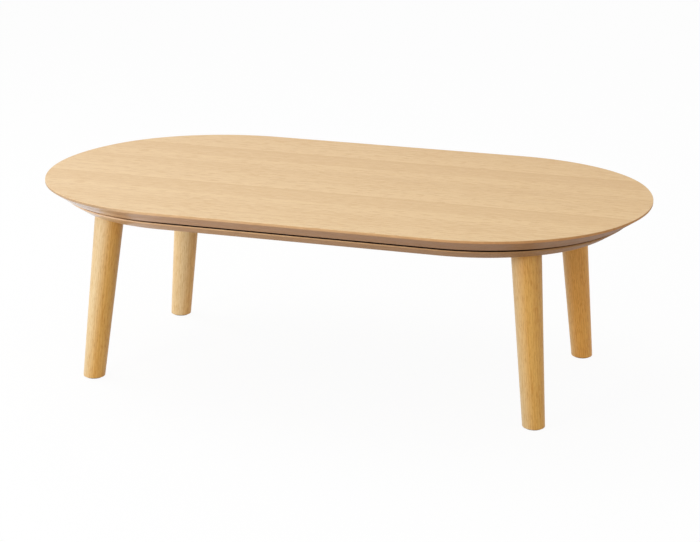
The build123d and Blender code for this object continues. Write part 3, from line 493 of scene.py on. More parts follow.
def make_finishes():
    """Every finish of the table, by name."""
    satin = {"Roughness": 0.5, "Specular_IOR_Level": 0.1}
    metal = {"Metallic": 1.0}
    planed = ((196, 160, 112), (222, 190, 144), (168, 130, 84))
    return {
        "veneer": veneer_finish(),
        "leg": leg_finish(),
        # The lipping's tint and end tints are painted shade towards its ends.
        "lipping": plain_wood(
            "oak_lipping", (0, 2, 1), (223, 185, 142), (241, 205, 164), (197, 155, 110),
            tint=(0.86, 0.68, 0.47), ends=((0.68, 0.69, 0.72), (0.95, 0.85, 0.78)), **satin),
        # The bevel's tint is painted shade towards its right end.
        "bevel": plain_wood(
            "top_substrate", (0, 2, 1), (200, 156, 117), (218, 174, 135), (164, 118, 82),
            contrast=0.8, tint=(0.6, 0.52, 0.44), gloss=1.0, **satin),
        "side": ring_wood("frame_wood_along", (0, 1, 2), **satin),
        "end": ring_wood("frame_wood_across", (1, 0, 2), **satin),
        "rail_along": plain_wood("rail_wood_along", (0, 1, 2), *planed, Roughness=0.6),
        "rail_across": plain_wood("rail_wood_across", (1, 0, 2), *planed, Roughness=0.6),
        "dowel": plain_wood(
            "dowel_wood", (2, 0, 1), (202, 168, 118), (226, 196, 148), (180, 142, 94),
            Roughness=0.65),
        "backing": speckled("backing_laminate", (132, 110, 88), (150, 126, 102), 0.6, 420.0, 0.03 * MM),
        "zinc": speckled("zinc_plate", (176, 178, 178), (208, 209, 206), 0.34, 160.0, 0.01 * MM, **metal),
        "rubber": speckled("pad_rubber", (22, 22, 22), (40, 40, 40), 0.85, 900.0, 0.06 * MM),
        "felt": speckled("glide_felt", (82, 66, 48), (120, 98, 74), 0.95, 1800.0, 0.3 * MM,
                         Sheen_Weight=0.4, Sheen_Roughness=0.5),
        "enamel": speckled("heater_enamel", (24, 24, 25), (40, 40, 41), 0.48, 700.0, 0.05 * MM),
        "flock": speckled("guard_flock", (44, 26, 19), (78, 50, 38), 0.9, 2600.0, 0.25 * MM,
                          Sheen_Weight=0.5, Sheen_Roughness=0.4),
        "reflector": speckled("rolled_aluminium", (196, 198, 202), (232, 233, 235), 0.2, 60.0, 0.02 * MM,
                              stretch=(0.3, 20.0, 1.0), **metal),
        "mat": speckled("fibre_mat", (206, 203, 192), (242, 240, 233), 0.95, 900.0, 0.8 * MM),
        "quartz": speckled("clear_quartz", (238, 236, 233), (250, 249, 247), 0.06, 80.0,
                           Transmission_Weight=0.85, IOR=1.46),
        "wire": speckled("element_wire", (70, 62, 56), (122, 112, 104), 0.45, 500.0, 0.02 * MM, **metal),
        "ceramic": speckled("white_ceramic", (214, 209, 196), (238, 234, 224), 0.7, 700.0, 0.06 * MM),
        "plastic": speckled("dark_plastic", (18, 18, 19), (34, 34, 35), 0.5, 1100.0, 0.06 * MM),
        "knob": speckled("ivory_plastic", (210, 204, 190), (228, 223, 211), 0.4, 800.0, 0.04 * MM),
        "brass": speckled("bright_brass", (198, 158, 84), (226, 190, 112), 0.28, 240.0, 0.01 * MM, **metal),
        "sleeve": speckled("woven_sleeve", (190, 184, 168), (236, 232, 220), 0.85, 1400.0, 0.3 * MM),
    }


# ---- Modelling helpers ----
def use(piece):
    """Makes one piece the selected and active one."""
    bpy.ops.object.select_all(action="DESELECT")
    piece.select_set(True)
    bpy.context.view_layer.objects.active = piece


@contextmanager
def editing(piece):
    """Edit mode on one piece, with the whole of it selected."""
    use(piece)
    bpy.ops.object.mode_set(mode="EDIT")
    bpy.ops.mesh.select_mode(type="VERT")
    bpy.ops.mesh.select_all(action="SELECT")
    yield
    bpy.ops.object.mode_set(mode="OBJECT")


def pick(piece, parts, test):
    """Selects the corners, edges or faces that pass a test, in edit mode."""
    bpy.ops.mesh.select_mode(type=parts)
    bpy.ops.mesh.select_all(action="DESELECT")
    mesh = bmesh.from_edit_mesh(piece.data)
    for part in {"VERT": mesh.verts, "EDGE": mesh.edges, "FACE": mesh.faces}[parts]:
        if test(part):
            part.select_set(True)
    mesh.select_flush_mode()
    bmesh.update_edit_mesh(piece.data)


def above(level):
    """A test for edges that lie above a height, both ends."""
    return lambda edge: min(corner.co.z for corner in edge.verts) > level


def below(level):
    """A test for edges that lie below a height, both ends."""
    return lambda edge: max(corner.co.z for corner in edge.verts) < level


def apply(piece, kind, **settings):
    """Adds a modifier and applies it."""
    use(piece)
    modifier = piece.modifiers.new(kind.lower(), kind)
    for name, setting in settings.items():
        setattr(modifier, name, setting)
    bpy.ops.object.modifier_apply(modifier=modifier.name)


def settle(piece):
    """Puts a piece's place into its mesh."""
    use(piece)
    bpy.ops.object.transform_apply(location=True, rotation=True, scale=True)


def named(name):
    """The piece just added or joined, under its name and with its place in its mesh."""
    piece = bpy.context.active_object
    piece.name = name
    piece.data.name = name
    settle(piece)
    return piece


def tidy(piece, angle=35.0):
    """Closes seams, turns faces outwards and smooths the shallow edges."""
    with editing(piece):
        bpy.ops.mesh.remove_doubles(threshold=1e-6)
        bpy.ops.mesh.normals_make_consistent(inside=False)
    use(piece)
    bpy.ops.object.shade_smooth_by_angle(angle=math.radians(angle))


def finish_piece(piece, body, finish, slot, *nodes):
    """Gives a modelled piece its finish, its body and the nodes that it stands for."""
    piece.data.materials.clear()
    piece.data.materials.append(finish)
    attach(piece, body)
    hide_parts(*nodes)


def copy_of(piece, name):
    """A copy with a mesh of its own."""
    twin = piece.copy()
    twin.data = piece.data.copy()
    twin.name = name
    twin.data.name = name
    bpy.context.scene.collection.objects.link(twin)
    return twin


def join(name, pieces):
    bpy.ops.object.select_all(action="DESELECT")
    for piece in pieces:
        piece.select_set(True)
    bpy.context.view_layer.objects.active = pieces[0]
    if len(pieces) > 1:
        bpy.ops.object.join()
    return named(name)


def repeat(master, name, places):
    """Copies of an upright piece, each at a place and along a direction, joined as one."""
    copies = []
    for place, aim in places:
        twin = copy_of(master, name)
        stand = Vector(aim).to_track_quat("Z", "Y").to_matrix().to_4x4()
        twin.matrix_world = Matrix.Translation(place) @ stand
        settle(twin)
        copies.append(twin)
    bpy.data.objects.remove(master)
    return join(name, copies)


def at_corners(x, y, z=0, aim=(0, 0, 1)):
    """The same place in each quarter of the table, with a direction, as repeat takes them."""
    return [((sx * x, sy * y, z), aim) for sx, sy in CORNERS]


def block(name, low, high):
    """A block between two corners, to be shaped further."""
    low, high = Vector(low), Vector(high)
    bpy.ops.mesh.primitive_cube_add(size=1.0, location=(low + high) / 2, scale=high - low)
    return named(name)


def is_upright(edge):
    first, second = (corner.co for corner in edge.verts)
    return (first - second).xy.length < SAME


def round_upright(piece, radius, segments=6):
    """Rounds a block's upright edges."""
    with editing(piece):
        pick(piece, "EDGE", is_upright)
        bpy.ops.mesh.bevel(offset=radius, segments=segments)


def cut(piece, cutter):
    """Cuts one piece's shape out of another."""
    apply(piece, "BOOLEAN", operation="DIFFERENCE", solver="EXACT", object=cutter)
    bpy.data.objects.remove(cutter)


def draw(name, points, closed, rounded=()):
    """Draws a line through points, closed or not.

    Each entry of rounded is the number of a point and the radius of its rounding.
    """
    bpy.ops.mesh.primitive_plane_add(size=MM, location=points[0])
    piece = named(name)
    with editing(piece):
        bpy.ops.mesh.merge(type="CENTER")
        for start, end in zip(points, points[1:]):
            step = Vector(end) - Vector(start)
            bpy.ops.mesh.extrude_region_move(TRANSFORM_OT_translate={"value": step})
        if closed:
            bpy.ops.mesh.select_all(action="SELECT")
            bpy.ops.mesh.edge_face_add()
            bpy.ops.mesh.delete(type="ONLY_FACE")
    for i, radius in rounded:
        with editing(piece):
            pick(piece, "VERT", lambda corner: (corner.co - Vector(points[i])).length < NEAR)
            bpy.ops.mesh.bevel(offset=radius, offset_pct=0, segments=4, affect="VERTICES")
    return piece


def pillar(radius, low, high):
    """The profile of a plain cylinder, as turned takes it."""
    return [(0, low), (radius, low), (radius, high), (0, high)]


def turned(name, profile, rounded=(), closed=False, steps=48):
    """A piece turned about an upright axis at the origin, from points (radius, height)."""
    piece = draw(name, [(radius, 0, height) for radius, height in profile], closed, rounded)
    with editing(piece):
        bpy.ops.mesh.spin(steps=steps, angle=2 * math.pi, center=(0, 0, 0), axis=(0, 0, -1))
    tidy(piece)
    return piece


# ---- The table's outline ----
END_STEPS = 16  # from the table's end to the corner arc
CORNER_STEPS = 36


def rim_piece(name, section, closed, rounded=()):
    """A piece that runs round the table, from points (distance inside the edge, height).

    The section is drawn at the right end, runs along end arc, corner arc and straight side, and is
    mirrored both ways. A section that isn't closed gives a slab.
    """
    piece = draw(name, [(half_length - inset, 0, z) for inset, z in section], closed, rounded)
    with editing(piece):
        bpy.ops.mesh.spin(steps=END_STEPS, angle=turn, center=end_centre, axis=(0, 0, -1))
        bpy.ops.mesh.spin(steps=CORNER_STEPS, angle=math.pi / 2 - turn, center=corner_centre,
                          axis=(0, 0, -1))
        bpy.ops.mesh.extrude_region_move(TRANSFORM_OT_translate={"value": (-corner_centre.x, 0, 0)})
    apply(piece, "MIRROR", use_axis=(True, True, False), merge_threshold=SAME)
    if not closed:
        with editing(piece):
            bpy.ops.mesh.fill_holes(sides=0)
    tidy(piece)
    return piece


def keep_between(piece, normal, low, high):
    """Cuts a piece to what lies between two planes, and closes it."""
    with editing(piece):
        for level, inner in ((low, True), (high, False)):
            if level is not None:
                bpy.ops.mesh.select_all(action="SELECT")
                bpy.ops.mesh.bisect(plane_co=Vector(normal) * level, plane_no=normal, use_fill=True,
                                    clear_inner=inner, clear_outer=not inner)


# ---- Tabletop ----
def bevel_point(z):
    """The bevel at a height, as a distance inside the edge with that height."""
    return (bevel_top - z) * bevel_slope, z


def model_veneer(finish):
    """Three leaves, cut from one thin slab with an eased edge."""
    slab = rim_piece("veneer", [(0, veneer_bottom), (0, table_top)], False)
    with editing(slab):
        pick(slab, "EDGE", above(table_top - NEAR))
        bpy.ops.mesh.bevel(offset=VENEER_EASING, segments=3)
    leaves = []
    normal = Vector((-math.sin(LEAF_SKEW), math.cos(LEAF_SKEW), 0))
    for i in (-1, 0, 1):
        leaf = copy_of(slab, "leaf")
        keep_between(leaf, normal, LEAF_SEAM + i * LEAF_WIDTH, LEAF_SEAM + (i + 1) * LEAF_WIDTH)
        tidy(leaf)
        leaves.append(leaf)
    bpy.data.objects.remove(slab)
    veneer = join("face_veneer", leaves)
    finish_piece(veneer, "tabletop", finish, "oak_veneer", "top_face_veneer")


def model_rim(lipping_wood, bevel_wood):
    """The lipping, the board and the ring under its rim, which share the bevel."""
    behind_lipping = bevel_point(bevel_top - LIPPING / bevel_slope)
    section = [(0, veneer_bottom), (0, bevel_top), behind_lipping, (LIPPING, veneer_bottom)]
    lipping = rim_piece("edge_lipping", section, True, [(1, LIPPING_ROUNDING)])
    finish_piece(lipping, "tabletop", lipping_wood, "oak_lipping", "top_edge_lipping")
    section = [(LIPPING, veneer_bottom), behind_lipping, bevel_point(board_bottom)]
    board = rim_piece("board", section, False)
    finish_piece(board, "tabletop", bevel_wood, "top_substrate", "top_board")
    section = [bevel_point(board_bottom), (BEVEL_WIDTH, top_bottom), (BEVEL_RING_WIDTH, top_bottom),
               (BEVEL_RING_WIDTH, board_bottom)]
    ring = rim_piece("bevel_ring", section, True, BEVEL_RING_ROUNDINGS)
    finish_piece(ring, "tabletop", bevel_wood, "top_substrate", "top_bevel_ring")


def model_pads(finish):
    pad = turned("pad", pillar(PAD_RADIUS, ring_top, top_bottom), [(1, PAD_ROUNDING), (2, PAD_ROUNDING)])
    end_y = END_PAD_SPACING / 2
    end_x = end_centre.x + math.sqrt((end_radius - PAD_SETBACK) ** 2 - end_y**2)
    side_y = half_width - PAD_SETBACK
    places = at_corners(SIDE_PAD_SPACING / 2, side_y) + at_corners(end_x, end_y)
    pads = repeat(pad, "rubber_pads", places)
    finish_piece(pads, "frame", finish, "pad_rubber", "top_rest_pads")


# ---- Ring frame and rails ----
def apron_screw_places():
    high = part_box("apron_screws")[1]
    reach_x = high.x - APRON_SCREW_HEAD_RADIUS
    reach_y = high.y - APRON_SCREW_HEAD_RADIUS
    xs = [(2 * i / (APRON_SCREWS - 1) - 1) * reach_x for i in range(APRON_SCREWS)]
    return [((x, side * reach_y, 0), (0, 0, 1)) for side in (-1, 1) for x in xs]


def ring_cutters():
    """The shapes of the ring's holes: bolts with their recesses, pins, countersinks and seam dowels."""
    over, under = ring_top + OVERSHOOT, ring_bottom - OVERSHOOT
    recess = WASHER_RADIUS + WASHER_ROOM
    hole = BOLT_RADIUS + FIT
    bolt = turned("bolt_hole", [(0, under), (hole, under), (hole, ring_top - BOLT_RECESS),
                                (recess, ring_top - BOLT_RECESS), (recess, over), (0, over)])
    bolts = repeat(bolt, "bolt_holes", at_corners(leg_head.x, leg_head.y))
    wide = APRON_SCREW_HEAD_RADIUS + FIT
    narrow = wide / 2
    screw = turned("screw_hole", [(0, under), (narrow, under), (narrow, ring_top - wide + narrow),
                                  (wide, ring_top), (wide, over), (0, over)], steps=SMALL_STEPS)
    screws = repeat(screw, "screw_holes", apron_screw_places())
    pin_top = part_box("leg_pins")[1].z
    pin = turned("pin_hole", pillar(DOWEL_RADIUS + FIT, under, pin_top), steps=SMALL_STEPS)
    pins = repeat(pin, "pin_holes", at_corners(pin_place.x, pin_place.y))
    low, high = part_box("frame_dowels")
    reach = high.x - ring_seam
    dowel = turned("dowel_hole", pillar(DOWEL_RADIUS + FIT, -reach, reach), steps=SMALL_STEPS)
    middle = (low.z + high.z) / 2
    ys = [high.y - DOWEL_RADIUS - i * RING_DOWEL_SPACING for i in (0, 1)]
    places = [((sx * ring_seam, sy * y, middle), (1, 0, 0)) for sx, sy in CORNERS for y in ys]
    dowels = repeat(dowel, "dowel_holes", places)
    return [bolts, screws, pins, dowels]


def model_ring(side_wood, end_wood):
    """The ring frame, drilled and cut into its four pieces."""
    section = [(RING_SETBACK, ring_top), (RING_SETBACK, ring_top - RING_LIP),
               (RING_SETBACK + RING_DRAFT, ring_bottom), (RING_INNER, ring_bottom), (RING_INNER, ring_top)]
    ring = rim_piece("ring", section, True, RING_ROUNDINGS)
    for cutter in ring_cutters():
        cut(ring, cutter)
    pieces = (("frame_side_front", (-ring_seam, ring_seam), (None, 0), side_wood),
              ("frame_side_back", (-ring_seam, ring_seam), (0, None), side_wood),
              ("frame_end_left", (None, -ring_seam), (None, None), end_wood),
              ("frame_end_right", (ring_seam, None), (None, None), end_wood))
    for node, along, across, wood in pieces:
        piece = copy_of(ring, "oak_" + node)
        keep_between(piece, (1, 0, 0), *along)
        keep_between(piece, (0, 1, 0), *across)
        tidy(piece)
        finish_piece(piece, "frame", wood, "frame_wood", node)
    bpy.data.objects.remove(ring)


def model_rails(along_wood, across_wood):
    """Planed rails with eased edges."""
    along = ("apron_front", "apron_back", "stretcher_front", "stretcher_back")
    across = ("cross_rail_left", "cross_rail_right")
    for node in along + across:
        rail = block("oak_" + node, *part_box(node))
        with editing(rail):
            bpy.ops.mesh.bevel(offset=RAIL_EASING, segments=3)
        tidy(rail)
        wood = along_wood if node in along else across_wood
        finish_piece(rail, "frame", wood, "rail_wood", node)


# ---- Legs ----
def model_legs(finish):
    """A cone along each leg's axis, cut level at both ends, rounded at the foot and drilled on top."""
    for (sx, sy), name in zip(CORNERS, CORNER_NAMES):
        foot = Vector((sx * LEG_FOOT.x, sy * LEG_FOOT.y, 0))
        head = Vector((sx * leg_head.x, sy * leg_head.y, ring_bottom))
        run = head - foot
        spare = LEG_TOP_RADIUS / run.length
        taper = (LEG_TOP_RADIUS - FOOT_RADIUS) * spare
        bpy.ops.mesh.primitive_cone_add(
            vertices=LEG_STEPS, radius1=FOOT_RADIUS - taper, radius2=LEG_TOP_RADIUS + taper,
            depth=run.length * (1 + 2 * spare), location=(foot + head) / 2,
            rotation=run.to_track_quat("Z", "Y").to_euler())
        leg = named("oak_leg_" + name)
        keep_between(leg, (0, 0, 1), glide_top, ring_bottom)
        with editing(leg):
            pick(leg, "EDGE", below(glide_top + NEAR))
            bpy.ops.mesh.bevel(offset=FOOT_ROUNDING, segments=6)
            pick(leg, "EDGE", above(ring_bottom - NEAR))
            bpy.ops.mesh.bevel(offset=LEG_CHAMFER, segments=2)
        insert_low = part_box("leg_inserts")[0].z
        pin_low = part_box("leg_pins")[0].z
        bores = ((leg_head, INSERT_RADIUS, insert_low), (pin_place, DOWEL_RADIUS, pin_low))
        for place, radius, low in bores:
            bore = turned("bore", pillar(radius + FIT, low, ring_bottom + OVERSHOOT), steps=SMALL_STEPS)
            cut(leg, repeat(bore, "bore", [((sx * place.x, sy * place.y, 0), (0, 0, 1))]))
        tidy(leg)
        finish_piece(leg, "frame", finish, "leg_wood", "leg_" + name)


def model_glides(finish):
    lean = glide_top / ring_bottom
    spot = LEG_FOOT - LEG_SPLAY * lean
    glide = turned("glide", pillar(GLIDE_RADIUS, 0, glide_top), [(1, GLIDE_ROUNDING)])
    glides = repeat(glide, "felt_glides", at_corners(spot.x, spot.y))
    finish_piece(glides, "frame", finish, "felt", "foot_glides")


# ---- Fasteners ----
def fasten(master, name, places, finish, node):
    """Screws, bolts or washers at their places, standing for one node."""
    finish_piece(repeat(master, name, places), "frame", finish, "zinc_steel", node)


def cross_recess(screw, top, reach):
    """Cuts a cross into a screw's head."""
    arm = reach * 0.22
    low, high = top - reach * 0.6, top + OVERSHOOT
    for half_x, half_y in ((reach, arm), (arm, reach)):
        cut(screw, block("cross", (-half_x, -half_y, low), (half_x, half_y, high)))
    tidy(screw)


def pan_screw(head, height, radius, length):
    """A pan-head screw, standing on the underside of its head."""
    profile = [(0, height), (head * 0.6, height), (head, height * 0.35), (head, 0), (radius, 0),
               (radius, radius - length), (0, -length)]
    screw = turned("screw", profile, [(1, head * 0.2), (2, height * 0.25)], steps=SMALL_STEPS)
    cross_recess(screw, height, head * 0.55)
    return screw


def model_screws(finish):
    """The countersunk screws of the aprons and the pan-head screws of the heater."""
    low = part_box("apron_screws")[0].z
    head, shank = APRON_SCREW_HEAD_RADIUS, APRON_SCREW_HEAD_RADIUS / 2
    profile = [(0, ring_top), (head, ring_top), (shank, ring_top - head + shank), (shank, low + shank),
               (0, low)]
    screw = turned("screw", profile, steps=SMALL_STEPS)
    cross_recess(screw, ring_top, head * 0.6)
    fasten(screw, "countersunk_screws", apron_screw_places(), finish, "apron_screws")
    low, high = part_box("heater_screws")
    seat = low.z + EAR_SCREW_HEAD_HEIGHT
    screw = pan_screw(EAR_SCREW_HEAD_RADIUS, EAR_SCREW_HEAD_HEIGHT, BOLT_RADIUS / 2, high.z - seat)
    reach_x, reach_y = high.x - EAR_SCREW_HEAD_RADIUS, high.y - EAR_SCREW_HEAD_RADIUS
    fasten(screw, "ear_screws", at_corners(reach_x, reach_y, seat, (0, 0, -1)), finish, "heater_screws")
    low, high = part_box("bezel_screws")
    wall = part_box("heater_cover")[1].x
    reach_y, middle = high.y - SCREW_HEAD_RADIUS, (low.z + high.z) / 2
    screw = pan_screw(SCREW_HEAD_RADIUS, SCREW_HEAD_HEIGHT, SCREW_HEAD_RADIUS / 2, SIDE_SCREW_LENGTH)
    places = [((side * wall, y, middle), (side, 0, 0)) for side in (-1, 1) for y in (-reach_y, 0, reach_y)]
    fasten(screw, "side_screws", places, finish, "bezel_screws")
    low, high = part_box("guard_screws")
    seat = low.z + SCREW_HEAD_HEIGHT
    screw = pan_screw(SCREW_HEAD_RADIUS, SCREW_HEAD_HEIGHT, SCREW_HEAD_RADIUS / 2, high.z - seat)
    xs = (low.x + SCREW_HEAD_RADIUS, high.x - SCREW_HEAD_RADIUS)
    ys = (low.y + SCREW_HEAD_RADIUS, high.y - SCREW_HEAD_RADIUS)
    fasten(screw, "clip_screws", [((x, y, seat), (0, 0, -1)) for x in xs for y in ys], finish, "guard_screws")


def model_bolts(finish):
    """Low-head socket bolts on washers, sunk into the ring."""
    seat = ring_top - BOLT_RECESS + WASHER_THICKNESS
    top = seat + BOLT_HEAD_HEIGHT
    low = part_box("leg_bolts")[0].z
    profile = [(0, top), (BOLT_HEAD_RADIUS, top), (BOLT_HEAD_RADIUS, seat), (BOLT_RADIUS, seat),
               (BOLT_RADIUS, low), (0, low)]
    bolt = turned("bolt", profile, [(1, BOLT_HEAD_ROUNDING), (4, BOLT_TIP_ROUNDING)])
    bpy.ops.mesh.primitive_cylinder_add(
        vertices=6, radius=BOLT_SOCKET / math.sqrt(3), depth=2 * BOLT_HEAD_HEIGHT,
        location=(0, 0, top + BOLT_HEAD_HEIGHT / 3))
    cut(bolt, named("socket"))
    tidy(bolt)
    places = at_corners(leg_head.x, leg_head.y)
    fasten(bolt, "socket_bolts", places, finish, "leg_bolts")
    hole = BOLT_RADIUS + FIT
    base = ring_top - BOLT_RECESS
    washer = turned("washer", [(hole, base), (WASHER_RADIUS, base), (WASHER_RADIUS, seat), (hole, seat)],
                    [(1, WASHER_ROUNDING), (2, WASHER_ROUNDING)], closed=True)
    fasten(washer, "washers", places, finish, "leg_bolt_washers")


# ---- Heater ----
def inlet_cutter(low_z):
    """The space of the inlet in the casing's right wall."""
    low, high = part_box("inlet_housing")
    return block("inlet_space", (low.x, low.y - INLET_ROOM, low_z),
                 (high.x + OVERSHOOT, high.y + INLET_ROOM, high.z + INLET_ROOM))


def model_cover(finish):
    """The casing's upper shell: drawn sheet with rounded edges and a pressed panel."""
    low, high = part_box("heater_cover")
    cover = block("cover_shell", low, high)
    round_upright(cover, CASING_ROUNDING)
    with editing(cover):
        pick(cover, "EDGE", above(high.z - NEAR))
        bpy.ops.mesh.bevel(offset=COVER_ROUNDING, segments=5)
    border = Vector((PANEL_BORDER, PANEL_BORDER, 0))
    panel = block("panel", low + border, high - border)
    panel.location.z = high.z - low.z - PANEL_DEPTH
    settle(panel)
    round_upright(panel, CASING_ROUNDING)
    cut(cover, panel)
    with editing(cover):
        pick(cover, "FACE", lambda face: face.normal.z < -0.99)
        bpy.ops.mesh.delete(type="FACE")
    tidy(cover)
    apply(cover, "SOLIDIFY", thickness=SHEET, offset=-1.0, use_even_offset=True)
    cut(cover, inlet_cutter(low.z - OVERSHOOT))
    tidy(cover)
    finish_piece(cover, "frame", finish, "heater_enamel", "heater_cover")


def model_bezel(finish):
    """The casing's lower shell: a plate with a standing wall, its window and the knob's slot."""
    low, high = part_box("heater_bezel")
    base = low.z + SHEET
    bezel = block("bezel_shell", low, (high.x, high.y, base))
    round_upright(bezel, CASING_ROUNDING + SHEET)
    wall = high.z - base
    with editing(bezel):
        pick(bezel, "EDGE", below(low.z + NEAR))
        bpy.ops.mesh.bevel(offset=BEZEL_ROUNDING, segments=3)
        pick(bezel, "FACE", lambda face: face.normal.z > 0.99)
        bpy.ops.mesh.inset(thickness=WALL_INSET)
        bpy.ops.mesh.extrude_region_move(TRANSFORM_OT_translate={"value": (0, 0, wall)})
        bpy.ops.mesh.inset(thickness=SHEET)
        bpy.ops.mesh.extrude_region_move(TRANSFORM_OT_translate={"value": (0, 0, -wall)})
    tidy(bezel)
    under, over = low.z - OVERSHOOT, base + OVERSHOOT
    reflector_low, reflector_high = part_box("heater_reflector")
    edge = Vector((REFLECTOR_FLANGE, REFLECTOR_FLANGE, 0))
    window_low, window_high = reflector_low + edge, reflector_high - edge
    window = block("window", (*window_low.xy, under), (*window_high.xy, over))
    round_upright(window, WINDOW_ROUNDING)
    cut(bezel, window)
    carriage_low, carriage_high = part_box("slide_carriage")
    middle = (carriage_low + carriage_high) / 2
    slot = block("slot", (middle.x - SLOT_HALF[0], middle.y - SLOT_HALF[1], under),
                 (middle.x + SLOT_HALF[0], middle.y + SLIDE_TRAVEL + SLOT_HALF[1], over))
    round_upright(slot, SLOT_ROUNDING, 4)
    cut(bezel, slot)
    cut(bezel, inlet_cutter(base))
    tidy(bezel)
    finish_piece(bezel, "frame", finish, "heater_enamel", "heater_bezel")


def model_knob(finish):
    """A slide knob with a softened face and three finger grooves."""
    low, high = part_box("temperature_knob")
    knob = block("slide_knob", low, high)
    with editing(knob):
        pick(knob, "EDGE", lambda edge: not above(high.z - NEAR)(edge))
        bpy.ops.mesh.bevel(offset=KNOB_ROUNDING, segments=5)
    middle = (low.y + high.y) / 2
    for i in (-1, 0, 1):
        y = middle + i * GROOVE_SPACING
        groove = block("groove", (low.x - OVERSHOOT, y - GROOVE_HALF, low.z - OVERSHOOT),
                       (high.x + OVERSHOOT, y + GROOVE_HALF, low.z + GROOVE_DEPTH))
        cut(knob, groove)
    tidy(knob)
    finish_piece(knob, "temperature_slide", finish, "knob_plastic", "temperature_knob")


def model_coils(finish):
    """Wound resistance wire in each tube, with straight ends out to the terminals."""
    tube_low, tube_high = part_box("quartz_tubes")
    low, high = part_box("heating_coils")
    middle_z = (tube_low.z + tube_high.z) / 2
    reach_y = tube_high.y - TUBE_RADIUS
    length = tube_high.x - tube_low.x
    turns = round(length / COIL_PITCH)
    bpy.ops.mesh.primitive_circle_add(
        vertices=6, radius=COIL_WIRE, fill_type="NGON", location=(0, 0, COIL_RADIUS - COIL_WIRE),
        rotation=(math.pi / 2, 0, 0))
    coil = named("coil")
    with editing(coil):
        bpy.ops.mesh.delete(type="ONLY_FACE")
    apply(coil, "SCREW", axis="X", angle=2 * math.pi, screw_offset=length / turns, iterations=turns,
          steps=COIL_STEPS, render_steps=COIL_STEPS)
    with editing(coil):
        bpy.ops.mesh.fill_holes(sides=0)
    tidy(coil, 60.0)
    ends = []
    for x0, x1 in ((low.x, tube_low.x), (tube_high.x, high.x)):
        rod = turned("rod", pillar(COIL_ROD, 0, x1 - x0), [(1, ROD_ROUNDING), (2, ROD_ROUNDING)], steps=16)
        ends.append(repeat(rod, "rod", [((x0 - tube_low.x, 0, 0), (1, 0, 0))]))
    element = join("element", [coil, *ends])
    coils = []
    for side in (-1, 1):
        twin = copy_of(element, "element")
        twin.location = (tube_low.x, side * reach_y, middle_z)
        settle(twin)
        coils.append(twin)
    bpy.data.objects.remove(element)
    finish_piece(join("wound_elements", coils), "frame", finish, "element_wire", "heating_coils")


# ---- Nodes that keep their own shape ----
KEPT = {
    "backing": ["top_backing_sheet"],
    "dowel": ["frame_dowels", "rail_dowels", "leg_pins"],
    "zinc": ["leg_inserts", "heater_ears", "tube_bracket_left", "tube_bracket_right", "tube_link_strip",
             "guard_clips"],
    "reflector": ["heater_reflector"],
    "mat": ["heater_insulation"],
    "quartz": ["quartz_tubes"],
    "ceramic": ["tube_end_caps", "terminal_block", "thermal_fuse"],
    "flock": ["guard_rim", "guard_wires", "guard_cross_bars"],
    "plastic": ["temperature_switch", "slide_carriage", "inlet_housing", "thermostat"],
    "brass": ["inlet_pins", "terminal_screws"],
    "sleeve": ["lead_wires"],
}


def dress_kept(finishes):
    for finish, nodes in KEPT.items():
        for name in nodes:
            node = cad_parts[name]
            node.data.materials.clear()
            node.data.materials.append(finishes[finish])


# ---- Studio ----
AMBIENT = 0.64  # of full white, for the light from all around
FLOOR_SIZE = 60.0
FLOOR_GLOW = 0.94  # the share of plain white in the floor that is seen
FLOOR_WHITE = (1.0, 1.0, 1.0, 1.0)
FLOOR_GREY = (0.55, 0.55, 0.55, 1.0)
FLOOR_FADE = 1.6  # the floor turns grey between this far to the left and this far to the right
LAMP_TARGET = Vector((0, 0, 0.3))
LAMPS = (  # name, place, size in metres, power in watts
    ("key_softbox", (-2.2, 0.4, 2.8), 2.0, 32.0),
    ("front_softbox", (-1.4, -3.3, 1.5), 1.0, 29.0),
    ("side_softbox", (-2.6, -1.6, 1.9), 1.4, 6.0),
    ("low_softbox", (-2.0, -1.3, 0.5), 0.7, 2.5),
)


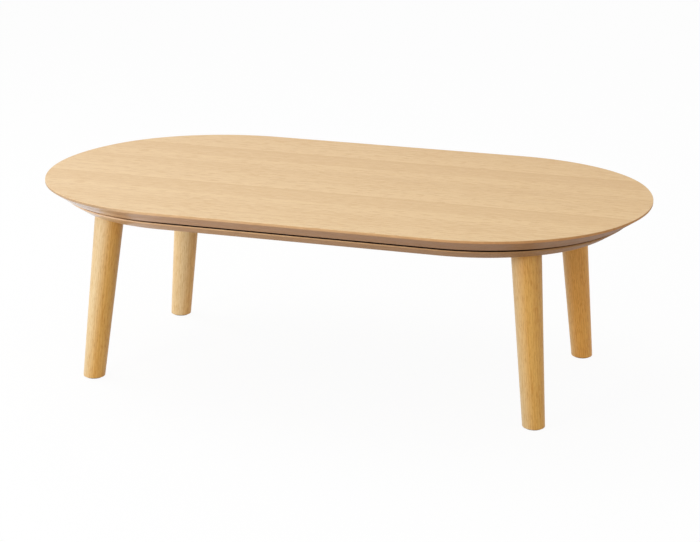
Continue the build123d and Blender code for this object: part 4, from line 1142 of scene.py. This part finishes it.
def add_floor():
    """A white floor with a faint shadow, clear from below, that throws less light back on its right."""
    bpy.ops.mesh.primitive_plane_add(size=FLOOR_SIZE)
    floor = named("floor")
    finish = Finish("studio_floor")
    tree = finish.tree
    tree.nodes.remove(finish.shader)
    lit = finish.node("BsdfDiffuse", inputs={"Color": FLOOR_WHITE})
    grey = finish.node("BsdfDiffuse", inputs={"Color": FLOOR_GREY})
    right = finish.place()[0].ease(-FLOOR_FADE, FLOOR_FADE)
    matte = finish.node("MixShader", inputs={0: right, 1: lit, 2: grey})
    glow = finish.node("Emission", inputs={"Strength": 1.0})
    seen = finish.node("MixShader", inputs={0: FLOOR_GLOW, 1: lit, 2: glow})
    rays = [finish.node("LightPath", output=name) for name in
            ("Is Camera Ray", "Is Glossy Ray", "Is Transmission Ray")]
    direct = finish.maths("MAXIMUM", finish.maths("MAXIMUM", rays[0], rays[1]), rays[2])
    front = finish.node("MixShader", inputs={0: direct, 1: matte, 2: seen})
    clear = finish.node("BsdfTransparent")
    behind = finish.node("NewGeometry", output="Backfacing")
    whole = finish.node("MixShader", inputs={0: behind, 1: front, 2: clear})
    tree.links.new(whole.socket, tree.nodes["Material Output"].inputs["Surface"])
    floor.data.materials.append(finish.material)


def add_world():
    """White where it is seen or mirrored, and an even soft light elsewhere."""
    world = bpy.data.worlds.new("studio")
    world.use_nodes = True
    bpy.context.scene.world = world
    nodes, links = world.node_tree.nodes, world.node_tree.links
    path = nodes.new("ShaderNodeLightPath")
    seen = path.outputs["Is Camera Ray"]
    for name in ("Is Glossy Ray", "Is Transmission Ray"):
        either = nodes.new("ShaderNodeMath")
        either.operation = "MAXIMUM"
        links.new(seen, either.inputs[0])
        links.new(path.outputs[name], either.inputs[1])
        seen = either.outputs[0]
    level = nodes.new("ShaderNodeMapRange")
    level.inputs["To Min"].default_value = AMBIENT
    links.new(seen, level.inputs["Value"])
    links.new(level.outputs[0], nodes["Background"].inputs["Strength"])
    nodes["Background"].inputs["Color"].default_value = (1.0, 1.0, 1.0, 1.0)


def add_lamp(name, place, size, power):
    """A square softbox aimed at the table."""
    lamp = bpy.data.objects.new(name, bpy.data.lights.new(name, "AREA"))
    bpy.context.scene.collection.objects.link(lamp)
    lamp.data.size = size
    lamp.data.energy = power
    lamp.location = place
    lamp.visible_camera = False
    lamp.rotation_mode = "QUATERNION"
    lamp.rotation_quaternion = (LAMP_TARGET - Vector(place)).to_track_quat("-Z", "Y")


def main():
    bpy.context.scene.view_settings.view_transform = "Standard"
    add_camera()
    add_world()
    add_floor()
    for lamp in LAMPS:
        add_lamp(*lamp)
    finishes = make_finishes()
    model_veneer(finishes["veneer"])
    model_rim(finishes["lipping"], finishes["bevel"])
    model_pads(finishes["rubber"])
    model_ring(finishes["side"], finishes["end"])
    model_rails(finishes["rail_along"], finishes["rail_across"])
    model_legs(finishes["leg"])
    model_glides(finishes["felt"])
    model_screws(finishes["zinc"])
    model_bolts(finishes["zinc"])
    model_cover(finishes["enamel"])
    model_bezel(finishes["enamel"])
    model_knob(finishes["knob"])
    model_coils(finishes["wire"])
    dress_kept(finishes)


main()
